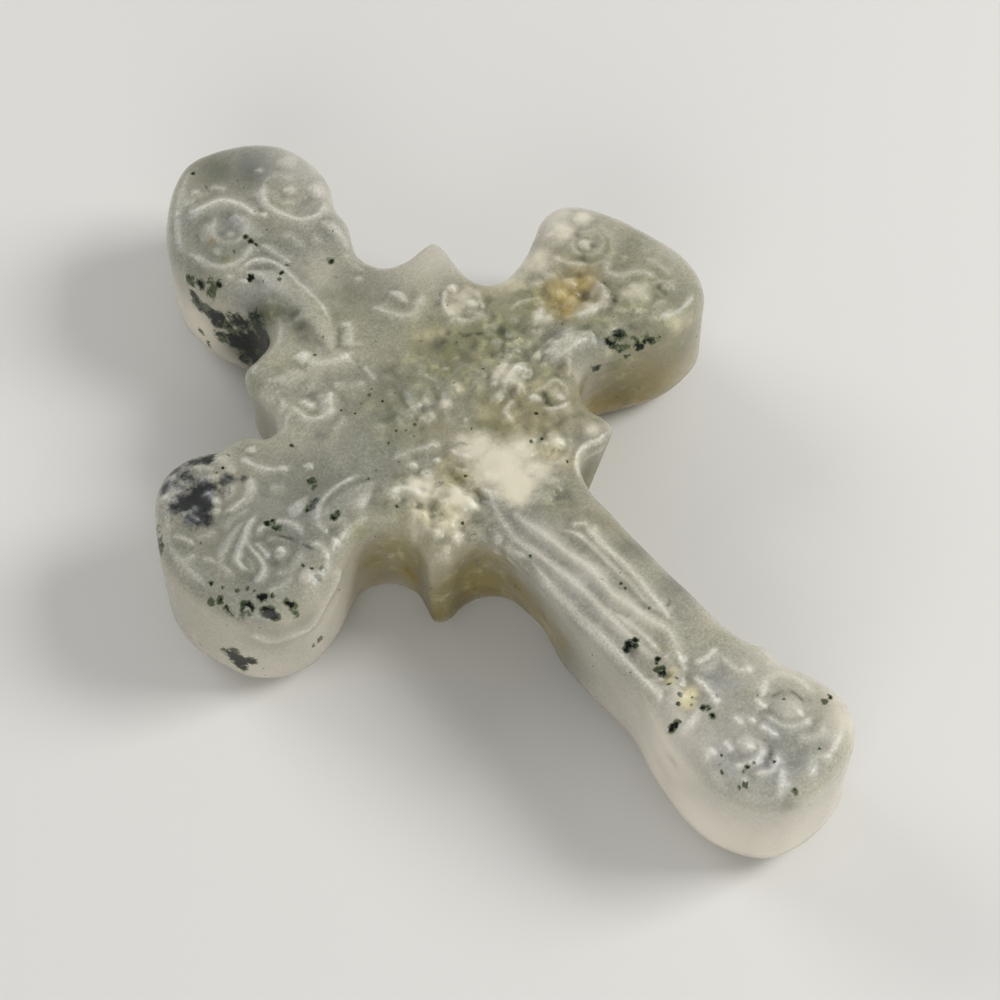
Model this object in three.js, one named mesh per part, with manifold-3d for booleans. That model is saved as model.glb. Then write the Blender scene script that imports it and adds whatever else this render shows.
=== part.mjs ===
// A small budded cross carved from one piece of milky agate.
// Millimetres, +Z up. The cross lies on its flat back with the carved face up,
// its long axis along Y and the upper limb towards +Y. The origin is on the
// back, under the middle of the cross.

import * as THREE from 'three';
import { mergeVertices } from 'three/addons/utils/BufferGeometryUtils.js';
import Module from 'manifold-3d';

// Driving dimensions
const LENGTH = 70;
const SPAN = 46.2;
const FACE_HEIGHT = 11.0;
const RIM_ROUNDING = 1.7;
const BACK_ROUNDING = 3.2;
const SHAFT_HALF = 3.9;
const NECK_HALF = 4.5;

// Places on the cross that the outline is drawn from. The drawing's own zero lies a
// little off the middle of the cross, because no limb is the exact twin of another.
const OFF_MIDDLE_X = 0.2;
const OFF_MIDDLE_Y = 0.3;
const TOP = LENGTH / 2 + OFF_MIDDLE_Y;
const FOOT = -LENGTH / 2 + OFF_MIDDLE_Y;
const RIGHT_TIP = SPAN / 2 + OFF_MIDDLE_X;
const LEFT_TIP = -SPAN / 2 + OFF_MIDDLE_X;
const AXIS_X = OFF_MIDDLE_X;
const ARM_AXIS_Y = 6.2;

// Fineness of the faceted solid
const POINTS_PER_SPAN = 2;
const RIM_STEPS = 2;
const BACK_STEPS = 3;
const ROUNDING_REACH = 3.2;
const RIDGE_SPACING = 0.95;
const RIDGE_SINK = 0.6;
const CREST_SHARE = 0.42;
const RIDGE_END_SIZE = 0.35;
const BOSS_SIDES = 10;
const BOSS_RINGS = 3;

const stone = new THREE.MeshStandardMaterial({
  name: 'milky_agate',
  color: 0xc9cac2,
  roughness: 0.42,
  metalness: 0,
});

// The outline runs clockwise, seen from above, from the crown of the upper limb.
const UPPER_LIMB_RIGHT = [
  [AXIS_X, TOP], [2.7, 34.9], [5.1, 33.7], [6.7, 32.0], [7.4, 30.1], [7.5, 28.3], [7.2, 26.6],
  [6.3, 24.9], [6.1, 23.8], [6.0, 23.0], [5.3, 21.6], [NECK_HALF + 0.2, 20.2], [NECK_HALF + 0.3, 18.9],
];
const UPPER_RIGHT_CUSP = [
  [5.5, 17.8], [7.2, 17.3], [8.7, 17.4], [9.8, 17.2], [10.0, 16.4], [9.8, 14.6], [9.7, 12.9],
];
const RIGHT_ARM = [
  [10.3, 11.7], [11.4, 11.2], [12.6, 11.4], [14.4, 12.1], [16.0, 13.0], [17.2, 13.7], [18.4, 13.9],
  [19.6, 13.6], [20.7, 12.5], [21.8, 10.4], [22.6, 8.3], [23.1, ARM_AXIS_Y], [RIGHT_TIP, 4.1],
  [22.9, 1.9], [21.7, 0.2], [19.7, -0.5], [17.6, -0.5], [15.2, 0.3], [13.0, 1.2], [11.4, 1.4],
];
const LOWER_RIGHT_CUSP = [
  [10.0, 0.7], [9.1, -0.6], [8.9, -2.2], [9.0, -3.5], [8.6, -4.5], [7.5, -4.8], [6.0, -4.6],
  [4.8, -5.3], [4.3, -6.8],
];
const SHAFT_RIGHT = [
  [SHAFT_HALF + 0.3, -9.5], [SHAFT_HALF + 0.25, -16], [SHAFT_HALF + 0.3, -21.6],
];
const FOOT_BULB = [
  [4.6, -23.3], [5.1, -24.3], [5.1, -25.8], [5.9, -27.6], [6.4, -29.4], [6.3, -31.3], [5.2, -33.1],
  [2.9, -34.4], [AXIS_X, FOOT], [-2.1, -34.2], [-3.8, -32.8], [-4.8, -30.9], [-5.2, -28.8],
  [-5.1, -26.4], [-4.7, -24.2],
];
const SHAFT_LEFT = [
  [-SHAFT_HALF, -21.0], [-SHAFT_HALF + 0.1, -16], [-SHAFT_HALF + 0.15, -11.5],
  [-SHAFT_HALF + 0.1, -8.2],
];
const LOWER_LEFT_CUSP = [
  [-4.0, -6.4], [-4.8, -5.4], [-6.0, -5.0], [-7.4, -5.0], [-8.3, -4.4], [-8.1, -3.3], [-7.8, -2.0],
  [-8.2, -0.6], [-9.2, 0.4],
];
const LEFT_ARM = [
  [-10.6, 0.7], [-12.2, 0.1], [-14.4, -1.1], [-17.1, -1.7], [-19.5, -1.0], [-21.4, 0.6], [-22.5, 3.2],
  [LEFT_TIP, ARM_AXIS_Y - 0.6], [-22.6, 7.8], [-21.5, 10.2], [-20.1, 12.2], [-18.4, 13.5],
  [-16.9, 13.8], [-15.4, 13.6], [-13.8, 12.9], [-12.6, 12.8], [-11.6, 12.5], [-11.0, 11.6],
];
const UPPER_LEFT_CUSP = [
  [-9.9, 11.5], [-9.1, 12.5], [-8.9, 14.4], [-8.9, 16.2], [-8.4, 17.1], [-7.1, 17.4], [-5.6, 17.9],
];
const UPPER_LIMB_LEFT = [
  [-NECK_HALF - 0.2, 19.0], [-NECK_HALF - 0.2, 20.6], [-5.5, 22.4], [-6.2, 24.4], [-6.5, 26.5],
  [-6.4, 28.3], [-5.6, 30.3], [-4.0, 32.4], [-2.0, 34.3],
];
const OUTLINE = [
  ...UPPER_LIMB_RIGHT, ...UPPER_RIGHT_CUSP, ...RIGHT_ARM, ...LOWER_RIGHT_CUSP, ...SHAFT_RIGHT,
  ...FOOT_BULB, ...SHAFT_LEFT, ...LOWER_LEFT_CUSP, ...LEFT_ARM, ...UPPER_LEFT_CUSP,
  ...UPPER_LIMB_LEFT,
];

// Stretches of the wall that lean in towards the back, and by how much at the back.
const UNDERCUTS = [
  { from: [-3.9, -7.9], to: [-3.8, -9.4], reach: 2.8, depth: 1.3 },
  { from: [8.8, -4.2], to: [7.0, -4.8], reach: 2.0, depth: 2.6 },
  { from: [-8.9, 15.6], to: [-8.9, 13.0], reach: 2.2, depth: 1.1 },
];
// Stretches where the rim is left crisp, and the share of the rounding that they lose.
const CRISP_RIMS = [
  { from: [-3.8, -7.5], to: [-3.9, -22.0], reach: 2.0, share: 0.65 },
  { from: [5.0, -5.2], to: [8.6, -4.5], reach: 1.8, share: 0.6 },
];

// Ridges of the ornament. Each has the line of its crest, seen from above, half the
// width of its foot and its height. A leaf swells in the middle of its length.
const UPPER_LIMB_RIDGES = [
  { crest: [[0.9, 27.4], [0.6, 28.7], [-0.1, 29.8], [-1.4, 30.3], [-2.8, 29.9], [-3.3, 28.6],
    [-3.0, 27.3], [-2.1, 26.5], [-1.0, 26.4], [-0.2, 27.2], [-0.3, 28.3], [-1.3, 28.5]],
    half: 0.42, high: 0.5 },
  { crest: [[-4.5, 30.2], [-4.8, 28.6], [-4.7, 26.9], [-4.0, 25.4], [-2.6, 24.9], [-1.3, 25.2]],
    half: 0.42, high: 0.45 },
  { crest: [[-0.8, 25.8], [-0.3, 24.6], [0.0, 23.4], [0.1, 22.2]], half: 0.42, high: 0.45 },
  { crest: [[2.3, 30.4], [2.0, 28.9], [2.2, 27.2], [2.8, 25.9], [3.9, 25.0], [5.2, 24.9]],
    half: 0.42, high: 0.5 },
  { crest: [[5.9, 27.1], [5.9, 28.6], [5.0, 29.8], [3.7, 29.8], [3.1, 28.6], [3.6, 27.3], [4.6, 27.6]],
    half: 0.42, high: 0.42 },
  { crest: [[-3.2, 31.6], [-1.9, 31.9], [-0.6, 31.7], [0.3, 31.0]], half: 0.35, high: 0.3 },
  { crest: [[-3.4, 23.6], [-2.2, 23.2], [-1.6, 22.0], [-1.4, 20.0], [-1.4, 18.0], [-1.7, 16.0],
    [-2.6, 14.8]], half: 1.0, high: 0.55, leaf: true },
  { crest: [[-4.7, 15.6], [-4.8, 14.5], [-4.1, 13.5], [-3.0, 13.0], [-1.9, 13.3]], half: 0.42, high: 0.45 },
  { crest: [[-0.4, 15.4], [-0.8, 14.0], [-1.8, 12.9], [-3.1, 12.1]], half: 0.38, high: 0.35 },
  { crest: [[4.0, 24.6], [4.5, 23.4], [4.4, 21.6]], half: 0.6, high: 0.35, leaf: true },
];
const CENTRE_RIDGES = [
  { crest: [[2.2, 15.2], [2.7, 14.0], [4.0, 13.1], [5.3, 13.4], [5.9, 14.6]], half: 0.42, high: 0.45 },
  { crest: [[-7.0, 12.4], [-7.8, 11.5], [-7.7, 10.4], [-6.5, 9.75], [-5.4, 10.2], [-5.1, 11.6]],
    half: 0.42, high: 0.45 },
  { crest: [[-7.6, 15.0], [-6.3, 14.4], [-5.0, 13.6]], half: 0.5, high: 0.35, leaf: true },
  { crest: [[6.4, 12.5], [6.0, 11.2], [6.3, 9.8], [7.4, 9.3], [8.5, 10.1], [8.7, 11.6]],
    half: 0.42, high: 0.45 },
  { crest: [[8.9, 4.9], [7.5, 5.1], [6.2, 4.3], [3.6, 2.9]], half: 0.7, high: 0.45, leaf: true },
  { crest: [[-5.0, 4.1], [-3.4, 3.4], [-1.6, 2.6]], half: 0.38, high: 0.35 },
  { crest: [[6.1, 2.1], [5.7, 0.9], [6.3, -0.3], [7.4, -0.6], [8.4, 0.3], [8.3, 1.7], [7.2, 2.4]],
    half: 0.4, high: 0.42 },
  { crest: [[5.0, 2.3], [3.9, 1.9], [3.4, 0.6], [3.2, -1.4], [3.2, -2.8], [4.2, -3.7], [5.4, -3.2],
    [5.6, -2.0]], half: 0.35, high: 0.4 },
  { crest: [[-2.5, 1.7], [-2.1, 0.2], [-2.0, -1.2], [-2.3, -2.8]], half: 0.35, high: 0.35 },
  { crest: [[-12.4, 1.5], [-10.8, 1.6], [-9.3, 1.1], [-8.5, 0.0]], half: 0.35, high: 0.35 },
];
const LEFT_ARM_RIDGES = [
  { crest: [[-13.9, 9.6], [-14.2, 8.4], [-15.4, 7.8], [-16.8, 8.0], [-17.8, 8.9]], half: 0.42, high: 0.45 },
  { crest: [[-19.2, 10.4], [-18.5, 11.6], [-17.0, 12.2], [-15.4, 11.9], [-14.4, 10.8]],
    half: 0.42, high: 0.4 },
  { crest: [[-18.4, 9.9], [-19.0, 9.3], [-18.7, 8.6], [-17.9, 8.6]], half: 0.35, high: 0.4 },
  { crest: [[-13.2, 11.7], [-13.2, 10.4], [-12.5, 9.1], [-11.0, 8.4]], half: 0.42, high: 0.42 },
  { crest: [[-21.0, 10.2], [-21.6, 8.5], [-21.8, 6.4], [-21.4, 4.2]], half: 0.4, high: 0.35 },
  { crest: [[-20.9, 8.9], [-20.5, 8.1], [-20.1, 7.3]], half: 0.45, high: 0.3, leaf: true },
  { crest: [[-15.5, 6.4], [-17.0, 5.7], [-18.4, 4.8], [-18.9, 3.8], [-18.2, 2.9]], half: 0.4, high: 0.45 },
  { crest: [[-16.8, 5.3], [-17.5, 4.2], [-17.5, 2.9], [-18.4, 2.1]], half: 0.35, high: 0.4 },
  { crest: [[-15.6, 5.3], [-14.4, 4.8], [-13.8, 3.5], [-14.3, 2.1], [-15.6, 1.4], [-17.2, 1.6]],
    half: 0.4, high: 0.4 },
  { crest: [[-20.0, 4.6], [-18.9, 5.8], [-17.7, 6.2]], half: 0.35, high: 0.35 },
  { crest: [[-13.6, 4.4], [-12.6, 4.9], [-11.6, 5.3]], half: 0.45, high: 0.35, leaf: true },
  { crest: [[-12.9, 3.0], [-11.2, 3.5], [-9.4, 3.7], [-7.3, 3.5]], half: 1.05, high: 0.5, leaf: true },
];
const RIGHT_ARM_RIDGES = [
  { crest: [[15.6, 10.2], [15.7, 8.9], [16.8, 7.8], [18.4, 7.6], [19.6, 8.5], [19.8, 10.0],
    [18.8, 11.1]], half: 0.42, high: 0.42 },
  { crest: [[17.3, 5.8], [18.6, 5.8], [20.0, 5.0], [20.8, 3.9]], half: 0.42, high: 0.45 },
  { crest: [[17.1, 4.3], [16.9, 2.9], [17.9, 1.6], [19.4, 1.6], [20.3, 2.6]], half: 0.38, high: 0.38 },
  { crest: [[15.9, 7.0], [16.1, 5.8], [15.0, 4.8], [13.6, 5.0], [12.6, 5.3]], half: 0.42, high: 0.42 },
  { crest: [[8.1, 3.3], [9.9, 3.3], [11.6, 3.2], [13.4, 3.0]], half: 1.05, high: 0.5, leaf: true },
  { crest: [[9.9, 6.1], [11.0, 6.7], [12.2, 7.0]], half: 0.38, high: 0.35 },
  { crest: [[10.3, 5.4], [11.4, 5.9], [12.3, 6.1]], half: 0.38, high: 0.35 },
  { crest: [[9.7, 0.8], [10.9, 1.3], [12.2, 1.0]], half: 0.38, high: 0.4 },
];
const SHAFT_RIDGES = [
  { crest: [[-3.6, -6.2], [-3.2, -8.6], [-3.1, -10.0], [-3.4, -12.0], [-3.4, -22.0], [-3.7, -23.2]],
    half: 0.35, high: 0.4 },
  { crest: [[-2.4, -4.0], [-2.7, -7.0], [-2.2, -10.0], [-1.9, -13.0], [-1.8, -19.6]],
    half: 0.42, high: 0.4 },
  { crest: [[-1.3, -5.6], [-1.3, -7.2], [-0.8, -10.0], [-0.4, -12.6], [-0.5, -14.8], [0.0, -17.3],
    [0.2, -19.2], [-0.1, -20.6], [-0.6, -22.2]], half: 0.5, high: 0.5 },
  { crest: [[0.6, -8.8], [0.9, -12.0], [0.95, -15.5], [1.25, -18.3]], half: 0.35, high: 0.35 },
  { crest: [[1.6, -9.4], [1.6, -13.0], [1.5, -15.6], [1.3, -18.2]], half: 0.42, high: 0.42 },
  { crest: [[0.1, -22.5], [2.1, -22.4]], half: 0.42, high: 0.38 },
];
const FOOT_RIDGES = [
  { crest: [[-0.6, -23.2], [-0.6, -24.4], [-0.9, -25.5]], half: 0.4, high: 0.4 },
  { crest: [[1.9, -23.2], [2.0, -24.6], [3.1, -25.5], [4.3, -25.1]], half: 0.38, high: 0.38 },
  { crest: [[-1.6, -26.5], [-0.4, -27.2], [0.0, -28.5], [-0.6, -29.8], [-1.9, -30.2], [-3.0, -29.4],
    [-3.1, -28.0]], half: 0.42, high: 0.45 },
  { crest: [[2.9, -26.4], [1.7, -27.4], [1.6, -29.0], [2.4, -30.3], [3.8, -30.3]], half: 0.4, high: 0.45 },
  { crest: [[1.2, -29.8], [1.6, -31.0], [2.6, -31.8], [3.7, -31.2]], half: 0.38, high: 0.4 },
  { crest: [[-3.9, -28.2], [-4.1, -30.2], [-3.5, -32.3], [-2.1, -34.0]], half: 0.35, high: 0.3 },
  { crest: [[0.7, -34.0], [0.9, -33.2], [2.3, -33.2]], half: 0.38, high: 0.35 },
  { crest: [[-2.2, -33.2], [-1.4, -32.5], [-0.5, -31.9]], half: 0.38, high: 0.38 },
];

// Round bosses of the ornament: the middle, the radius of the foot, and the height.
const BOSSES = [
  { at: [-1.7, 27.6], radius: 0.7, high: 0.45 },
  { at: [5.8, 30.4], radius: 0.7, high: 0.35 },
  { at: [-3.3, 14.6], radius: 1.1, high: 0.5 },
  { at: [4.2, 14.7], radius: 0.7, high: 0.45 },
  { at: [-6.7, 11.2], radius: 0.65, high: 0.45 },
  { at: [7.4, 12.4], radius: 0.6, high: 0.4 },
  { at: [7.6, 10.8], radius: 0.65, high: 0.4 },
  { at: [7.2, 0.9], radius: 0.85, high: 0.4 },
  { at: [4.6, -2.5], radius: 0.7, high: 0.45 },
  { at: [-3.9, -2.0], radius: 1.35, high: 0.6 },
  { at: [-5.8, 1.2], radius: 1.35, high: 0.45 },
  { at: [-4.0, 1.3], radius: 0.6, high: 0.35 },
  { at: [-7.2, -1.6], radius: 0.8, high: 0.4 },
  { at: [-5.6, -4.0], radius: 0.55, high: 0.35 },
  { at: [-16.1, 9.9], radius: 0.85, high: 0.4 },
  { at: [-15.9, 3.8], radius: 1.1, high: 0.42 },
  { at: [-12.3, 1.2], radius: 0.5, high: 0.3 },
  { at: [18.0, 9.5], radius: 1.1, high: 0.42 },
  { at: [18.6, 3.2], radius: 1.25, high: 0.42 },
  { at: [14.0, 7.2], radius: 1.2, high: 0.35 },
  { at: [-1.5, -28.6], radius: 0.9, high: 0.42 },
  { at: [2.8, -28.7], radius: 1.1, high: 0.42 },
];

// A smooth curve through flat points.
function smoothCurve(points, closed) {
  const through = points.map(([x, y]) => new THREE.Vector3(x, y, 0));
  return new THREE.CatmullRomCurve3(through, closed, 'centripetal');
}

const flat = (p) => new THREE.Vector2(p.x, p.y);

// The direction in which each point of a clockwise ring moves when the ring shrinks:
// the inward normal averaged over a few millimetres to both sides. The average is
// short at a pointed cusp and in a tight notch, so the rounding is smaller there.
function inwardDirections(ring) {
  const edges = ring.map((p, i) => ring[(i + 1) % ring.length].clone().sub(p));
  const starts = [0];
  edges.forEach((edge, i) => starts.push(starts[i] + edge.length()));
  const girth = starts.pop();
  return ring.map((_, i) => {
    const sum = new THREE.Vector2();
    let total = 0;
    edges.forEach((edge, j) => {
      const length = edge.length();
      const apart = Math.abs(starts[j] + length / 2 - starts[i]);
      const away = Math.min(apart, girth - apart);
      const weight = Math.exp(-((away / ROUNDING_REACH) ** 2));
      sum.add(new THREE.Vector2(edge.y, -edge.x).multiplyScalar(weight));
      total += weight * length;
    });
    return sum.divideScalar(total);
  });
}

// How near a point is to a stretch of the wall, from 1 on it to 0 far away.
function nearness(point, { from, to, reach }) {
  const start = new THREE.Vector2(...from);
  const run = new THREE.Vector2(...to).sub(start);
  const share = THREE.MathUtils.clamp(point.clone().sub(start).dot(run) / run.lengthSq(), 0, 1);
  const away = point.distanceTo(start.addScaledVector(run, share));
  return Math.exp(-((away / reach) ** 2));
}

const rimRounding = (point) => CRISP_RIMS.reduce(
  (radius, rim) => radius * (1 - rim.share * nearness(point, rim)),
  RIM_ROUNDING,
);

const undercut = (point, height) => UNDERCUTS.reduce(
  (sum, wall) => sum + wall.depth * nearness(point, wall) * (1 - height / FACE_HEIGHT),
  0,
);

// The rings of the blank from the flat back to the edge of the face: a quarter
// round at the back, an upright wall, and a smaller quarter round at the rim.
function blankRings(outline) {
  const inwards = inwardDirections(outline);
  const ringAt = (insetAt, heightAt) => outline.map((p, i) => {
    const height = heightAt(p);
    const moved = p.clone().addScaledVector(inwards[i], insetAt(p) + undercut(p, height));
    return new THREE.Vector3(moved.x, moved.y, height);
  });
  const rings = [];
  for (let i = 0; i <= BACK_STEPS; i += 1) {
    const turn = (i / BACK_STEPS) * (Math.PI / 2);
    const inset = BACK_ROUNDING * (1 - Math.sin(turn));
    const height = BACK_ROUNDING * (1 - Math.cos(turn));
    rings.push(ringAt(() => inset, () => height));
  }
  for (let i = 0; i <= RIM_STEPS; i += 1) {
    const turn = (i / RIM_STEPS) * (Math.PI / 2);
    const insetAt = (p) => rimRounding(p) * (1 - Math.cos(turn));
    const heightAt = (p) => FACE_HEIGHT - rimRounding(p) * (1 - Math.sin(turn));
    rings.push(ringAt(insetAt, heightAt));
  }
  return rings;
}

// A closed body from a stack of rings with equal numbers of points, lowest first.
function loft(rings) {
  const count = rings[0].length;
  const positions = rings.flatMap((ring) => ring.flatMap((p) => [p.x, p.y, p.z]));
  const faces = [];
  for (let level = 0; level < rings.length - 1; level += 1) {
    for (let i = 0; i < count; i += 1) {
      const a = level * count + i;
      const b = level * count + ((i + 1) % count);
      faces.push(a, a + count, b, b, a + count, b + count);
    }
  }
  const bottom = THREE.ShapeUtils.triangulateShape(rings[0].map(flat), []);
  const top = THREE.ShapeUtils.triangulateShape(rings[rings.length - 1].map(flat), []);
  const lift = (rings.length - 1) * count;
  bottom.forEach(([a, b, c]) => faces.push(a, c, b));
  top.forEach(([a, b, c]) => faces.push(lift + a, lift + b, lift + c));
  const geometry = new THREE.BufferGeometry();
  geometry.setAttribute('position', new THREE.Float32BufferAttribute(positions, 3));
  geometry.setIndex(faces);
  return geometry;
}

// Height of the plain blank under a point of the face, which falls at the rim.
function faceHeight(point, outline) {
  const depth = Math.min(...outline.map((edge) => edge.distanceTo(point)));
  const radius = rimRounding(point);
  const short = Math.max(0, radius - depth);
  return FACE_HEIGHT - radius + Math.sqrt(radius ** 2 - short ** 2);
}

// Size of a ridge along its length: a leaf swells, a plain ridge only tapers at its ends.
function swell(t, leaf) {
  const tip = 0.06;
  const taper = 2.2;
  const bow = Math.sin(Math.PI * (tip + (1 - 2 * tip) * t));
  return leaf ? bow ** 0.75 : Math.min(1, taper * bow);
}

// A carved ridge with sloping sides and a narrow flat crest, sunk into the face.
function ridge({ crest, half, high, leaf = false }, outline) {
  const curve = smoothCurve(crest, false);
  const count = Math.max(3, Math.round(curve.getLength() / RIDGE_SPACING));
  const line = curve.getSpacedPoints(count).map(flat);
  const rings = line.map((point, i) => {
    const before = line[Math.max(0, i - 1)];
    const after = line[Math.min(count, i + 1)];
    const along = after.clone().sub(before).normalize();
    const across = new THREE.Vector2(-along.y, along.x);
    const size = swell(i / count, leaf);
    const base = faceHeight(point, outline);
    const corner = (side, height) => [
      point.x + across.x * side * half * size,
      point.y + across.y * side * half * size,
      base + height,
    ];
    const lift = high * THREE.MathUtils.lerp(RIDGE_END_SIZE, 1, size);
    return [corner(-1, -RIDGE_SINK), corner(1, -RIDGE_SINK), corner(1, 0),
      corner(CREST_SHARE, lift), corner(-CREST_SHARE, lift), corner(-1, 0)];
  });
  const sides = rings[0].length;
  const faces = [];
  for (let i = 0; i < count; i += 1) {
    for (let j = 0; j < sides; j += 1) {
      const a = i * sides + j;
      const b = i * sides + ((j + 1) % sides);
      faces.push(a, b, a + sides, b, b + sides, a + sides);
    }
  }
  const last = count * sides;
  for (let j = 1; j < sides - 1; j += 1) {
    faces.push(0, j + 1, j);
    faces.push(last, last + j, last + j + 1);
  }
  const geometry = new THREE.BufferGeometry();
  geometry.setAttribute('position', new THREE.Float32BufferAttribute(rings.flat(2), 3));
  geometry.setIndex(faces);
  return geometry;
}

// A low round boss: a flattened ball, half of it in the stone.
function boss({ at, radius, high }, outline) {
  const middle = new THREE.Vector2(...at);
  const ball = new THREE.SphereGeometry(1, BOSS_SIDES, 2 * BOSS_RINGS);
  ball.rotateX(Math.PI / 2);
  ball.scale(radius, radius, high);
  ball.translate(middle.x, middle.y, faceHeight(middle, outline));
  return ball;
}

const wasm = await Module();
wasm.setup();

// A closed geometry as a solid that can be joined.
function solidOf(geometry) {
  geometry.deleteAttribute('normal');
  geometry.deleteAttribute('uv');
  const merged = mergeVertices(geometry);
  return new wasm.Manifold(new wasm.Mesh({
    numProp: 3,
    vertProperties: new Float32Array(merged.attributes.position.array),
    triVerts: new Uint32Array(merged.index.array),
  }));
}

function carvedCross() {
  const fine = OUTLINE.length * POINTS_PER_SPAN;
  const outline = smoothCurve(OUTLINE, true).getPoints(fine).slice(0, -1).map(flat);
  const ridges = [
    ...UPPER_LIMB_RIDGES, ...CENTRE_RIDGES, ...LEFT_ARM_RIDGES, ...RIGHT_ARM_RIDGES,
    ...SHAFT_RIDGES, ...FOOT_RIDGES,
  ];
  let stoneBody = solidOf(loft(blankRings(outline)));
  ridges.forEach((one) => { stoneBody = stoneBody.add(solidOf(ridge(one, outline))); });
  BOSSES.forEach((one) => { stoneBody = stoneBody.add(solidOf(boss(one, outline))); });
  const joined = stoneBody.getMesh();
  const geometry = new THREE.BufferGeometry();
  geometry.setAttribute('position', new THREE.Float32BufferAttribute(joined.vertProperties, 3));
  geometry.setIndex(new THREE.Uint32BufferAttribute(joined.triVerts, 1));
  geometry.computeVertexNormals();
  return geometry;
}

const cross = new THREE.Mesh(carvedCross(), stone);
cross.name = 'stone_cross';
cross.position.set(-OFF_MIDDLE_X, -OFF_MIDDLE_Y, 0);

const part = new THREE.Group();
part.add(cross);

export default part;
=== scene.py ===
import math

import bpy
import numpy as np
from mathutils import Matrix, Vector, kdtree, noise
from mathutils.geometry import delaunay_2d_cdt


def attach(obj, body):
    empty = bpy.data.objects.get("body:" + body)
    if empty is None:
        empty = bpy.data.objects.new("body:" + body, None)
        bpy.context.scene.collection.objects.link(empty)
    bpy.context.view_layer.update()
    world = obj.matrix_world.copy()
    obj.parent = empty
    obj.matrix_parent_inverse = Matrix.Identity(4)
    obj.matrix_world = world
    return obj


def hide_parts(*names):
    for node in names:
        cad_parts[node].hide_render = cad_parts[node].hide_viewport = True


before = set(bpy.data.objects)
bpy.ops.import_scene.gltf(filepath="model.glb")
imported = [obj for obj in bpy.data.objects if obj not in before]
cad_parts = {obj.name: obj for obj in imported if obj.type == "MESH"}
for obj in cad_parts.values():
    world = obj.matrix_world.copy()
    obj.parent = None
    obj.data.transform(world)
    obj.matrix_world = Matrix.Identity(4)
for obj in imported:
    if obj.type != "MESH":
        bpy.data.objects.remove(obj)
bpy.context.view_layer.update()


# The camera. It looks down on the lying cross from the left of its foot, through a long
# lens, so that the limbs hardly shrink towards the back.
MM = 0.001
LOOK_AT = Vector((2.71, 1.13, 0.0)) * MM
VIEW_BEARING = math.radians(40.18)
VIEW_ELEVATION = math.radians(58.0)
VIEW_DISTANCE = 210.8 * MM
LENS_LENGTH = 100.8
FILM_WIDTH = 36.0
NEAREST_SEEN = 10 * MM

forward = Vector((
    math.cos(VIEW_ELEVATION) * math.sin(VIEW_BEARING),
    math.cos(VIEW_ELEVATION) * math.cos(VIEW_BEARING),
    -math.sin(VIEW_ELEVATION),
))
bpy.context.scene.view_settings.view_transform = "Standard"
camera_data = bpy.data.cameras.new("camera")
camera_data.lens = LENS_LENGTH
camera_data.sensor_width = FILM_WIDTH
camera_data.clip_start = NEAREST_SEEN
camera = bpy.data.objects.new("camera", camera_data)
camera.location = LOOK_AT - forward * VIEW_DISTANCE
camera.rotation_euler = forward.to_track_quat("-Z", "Y").to_euler()
bpy.context.scene.collection.objects.link(camera)
bpy.context.scene.camera = camera


# The blank of the cross. The real piece is sawn from a slab of milky moss agate and ground
# to a budded outline, with rounded walls and a flat back. The outline is drawn in
# millimetres, on a drawing whose zero lies a little off the middle of the cross.
OFF_MIDDLE = (0.2, 0.3)
LENGTH = 70.0
SPAN = 46.2
FACE_HEIGHT = 11.0
RIM_ROUNDING = 1.7
BACK_ROUNDING = 3.2
SHAFT_HALF = 3.9
NECK_HALF = 4.5
TOP = LENGTH / 2 + OFF_MIDDLE[1]
FOOT = -LENGTH / 2 + OFF_MIDDLE[1]
RIGHT_TIP = SPAN / 2 + OFF_MIDDLE[0]
LEFT_TIP = -SPAN / 2 + OFF_MIDDLE[0]
AXIS_X = OFF_MIDDLE[0]
ARM_AXIS_Y = 6.2

UPPER_LIMB_RIGHT = [
    (AXIS_X, TOP), (2.7, 34.9), (5.1, 33.7), (6.7, 32.0), (7.4, 30.1), (7.5, 28.3), (7.2, 26.6),
    (6.3, 24.9), (6.1, 23.8), (6.0, 23.0), (5.3, 21.6), (NECK_HALF + 0.2, 20.2),
    (NECK_HALF + 0.3, 18.9),
]
UPPER_RIGHT_CUSP = [
    (5.5, 17.8), (7.2, 17.3), (8.7, 17.4), (9.8, 17.2), (10.0, 16.4), (9.8, 14.6), (9.7, 12.9),
]
RIGHT_ARM = [
    (10.3, 11.7), (11.4, 11.2), (12.6, 11.4), (14.4, 12.1), (16.0, 13.0), (17.2, 13.7),
    (18.4, 13.9), (19.6, 13.6), (20.7, 12.5), (21.8, 10.4), (22.6, 8.3), (23.1, ARM_AXIS_Y),
    (RIGHT_TIP, 4.1), (22.9, 1.9), (21.7, 0.2), (19.7, -0.5), (17.6, -0.5), (15.2, 0.3),
    (13.0, 1.2), (11.4, 1.4),
]
LOWER_RIGHT_CUSP = [
    (10.0, 0.7), (9.1, -0.6), (8.9, -2.2), (9.0, -3.5), (8.6, -4.5), (7.5, -4.8), (6.0, -4.6),
    (4.8, -5.3), (4.3, -6.8),
]
SHAFT_RIGHT = [
    (SHAFT_HALF + 0.3, -9.5), (SHAFT_HALF + 0.25, -16), (SHAFT_HALF + 0.3, -21.6),
]
FOOT_BULB = [
    (4.6, -23.3), (5.1, -24.3), (5.1, -25.8), (5.9, -27.6), (6.4, -29.4), (6.3, -31.3),
    (5.2, -33.1), (2.9, -34.4), (AXIS_X, FOOT), (-2.1, -34.2), (-3.8, -32.8), (-4.8, -30.9),
    (-5.2, -28.8), (-5.1, -26.4), (-4.7, -24.2),
]
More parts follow.
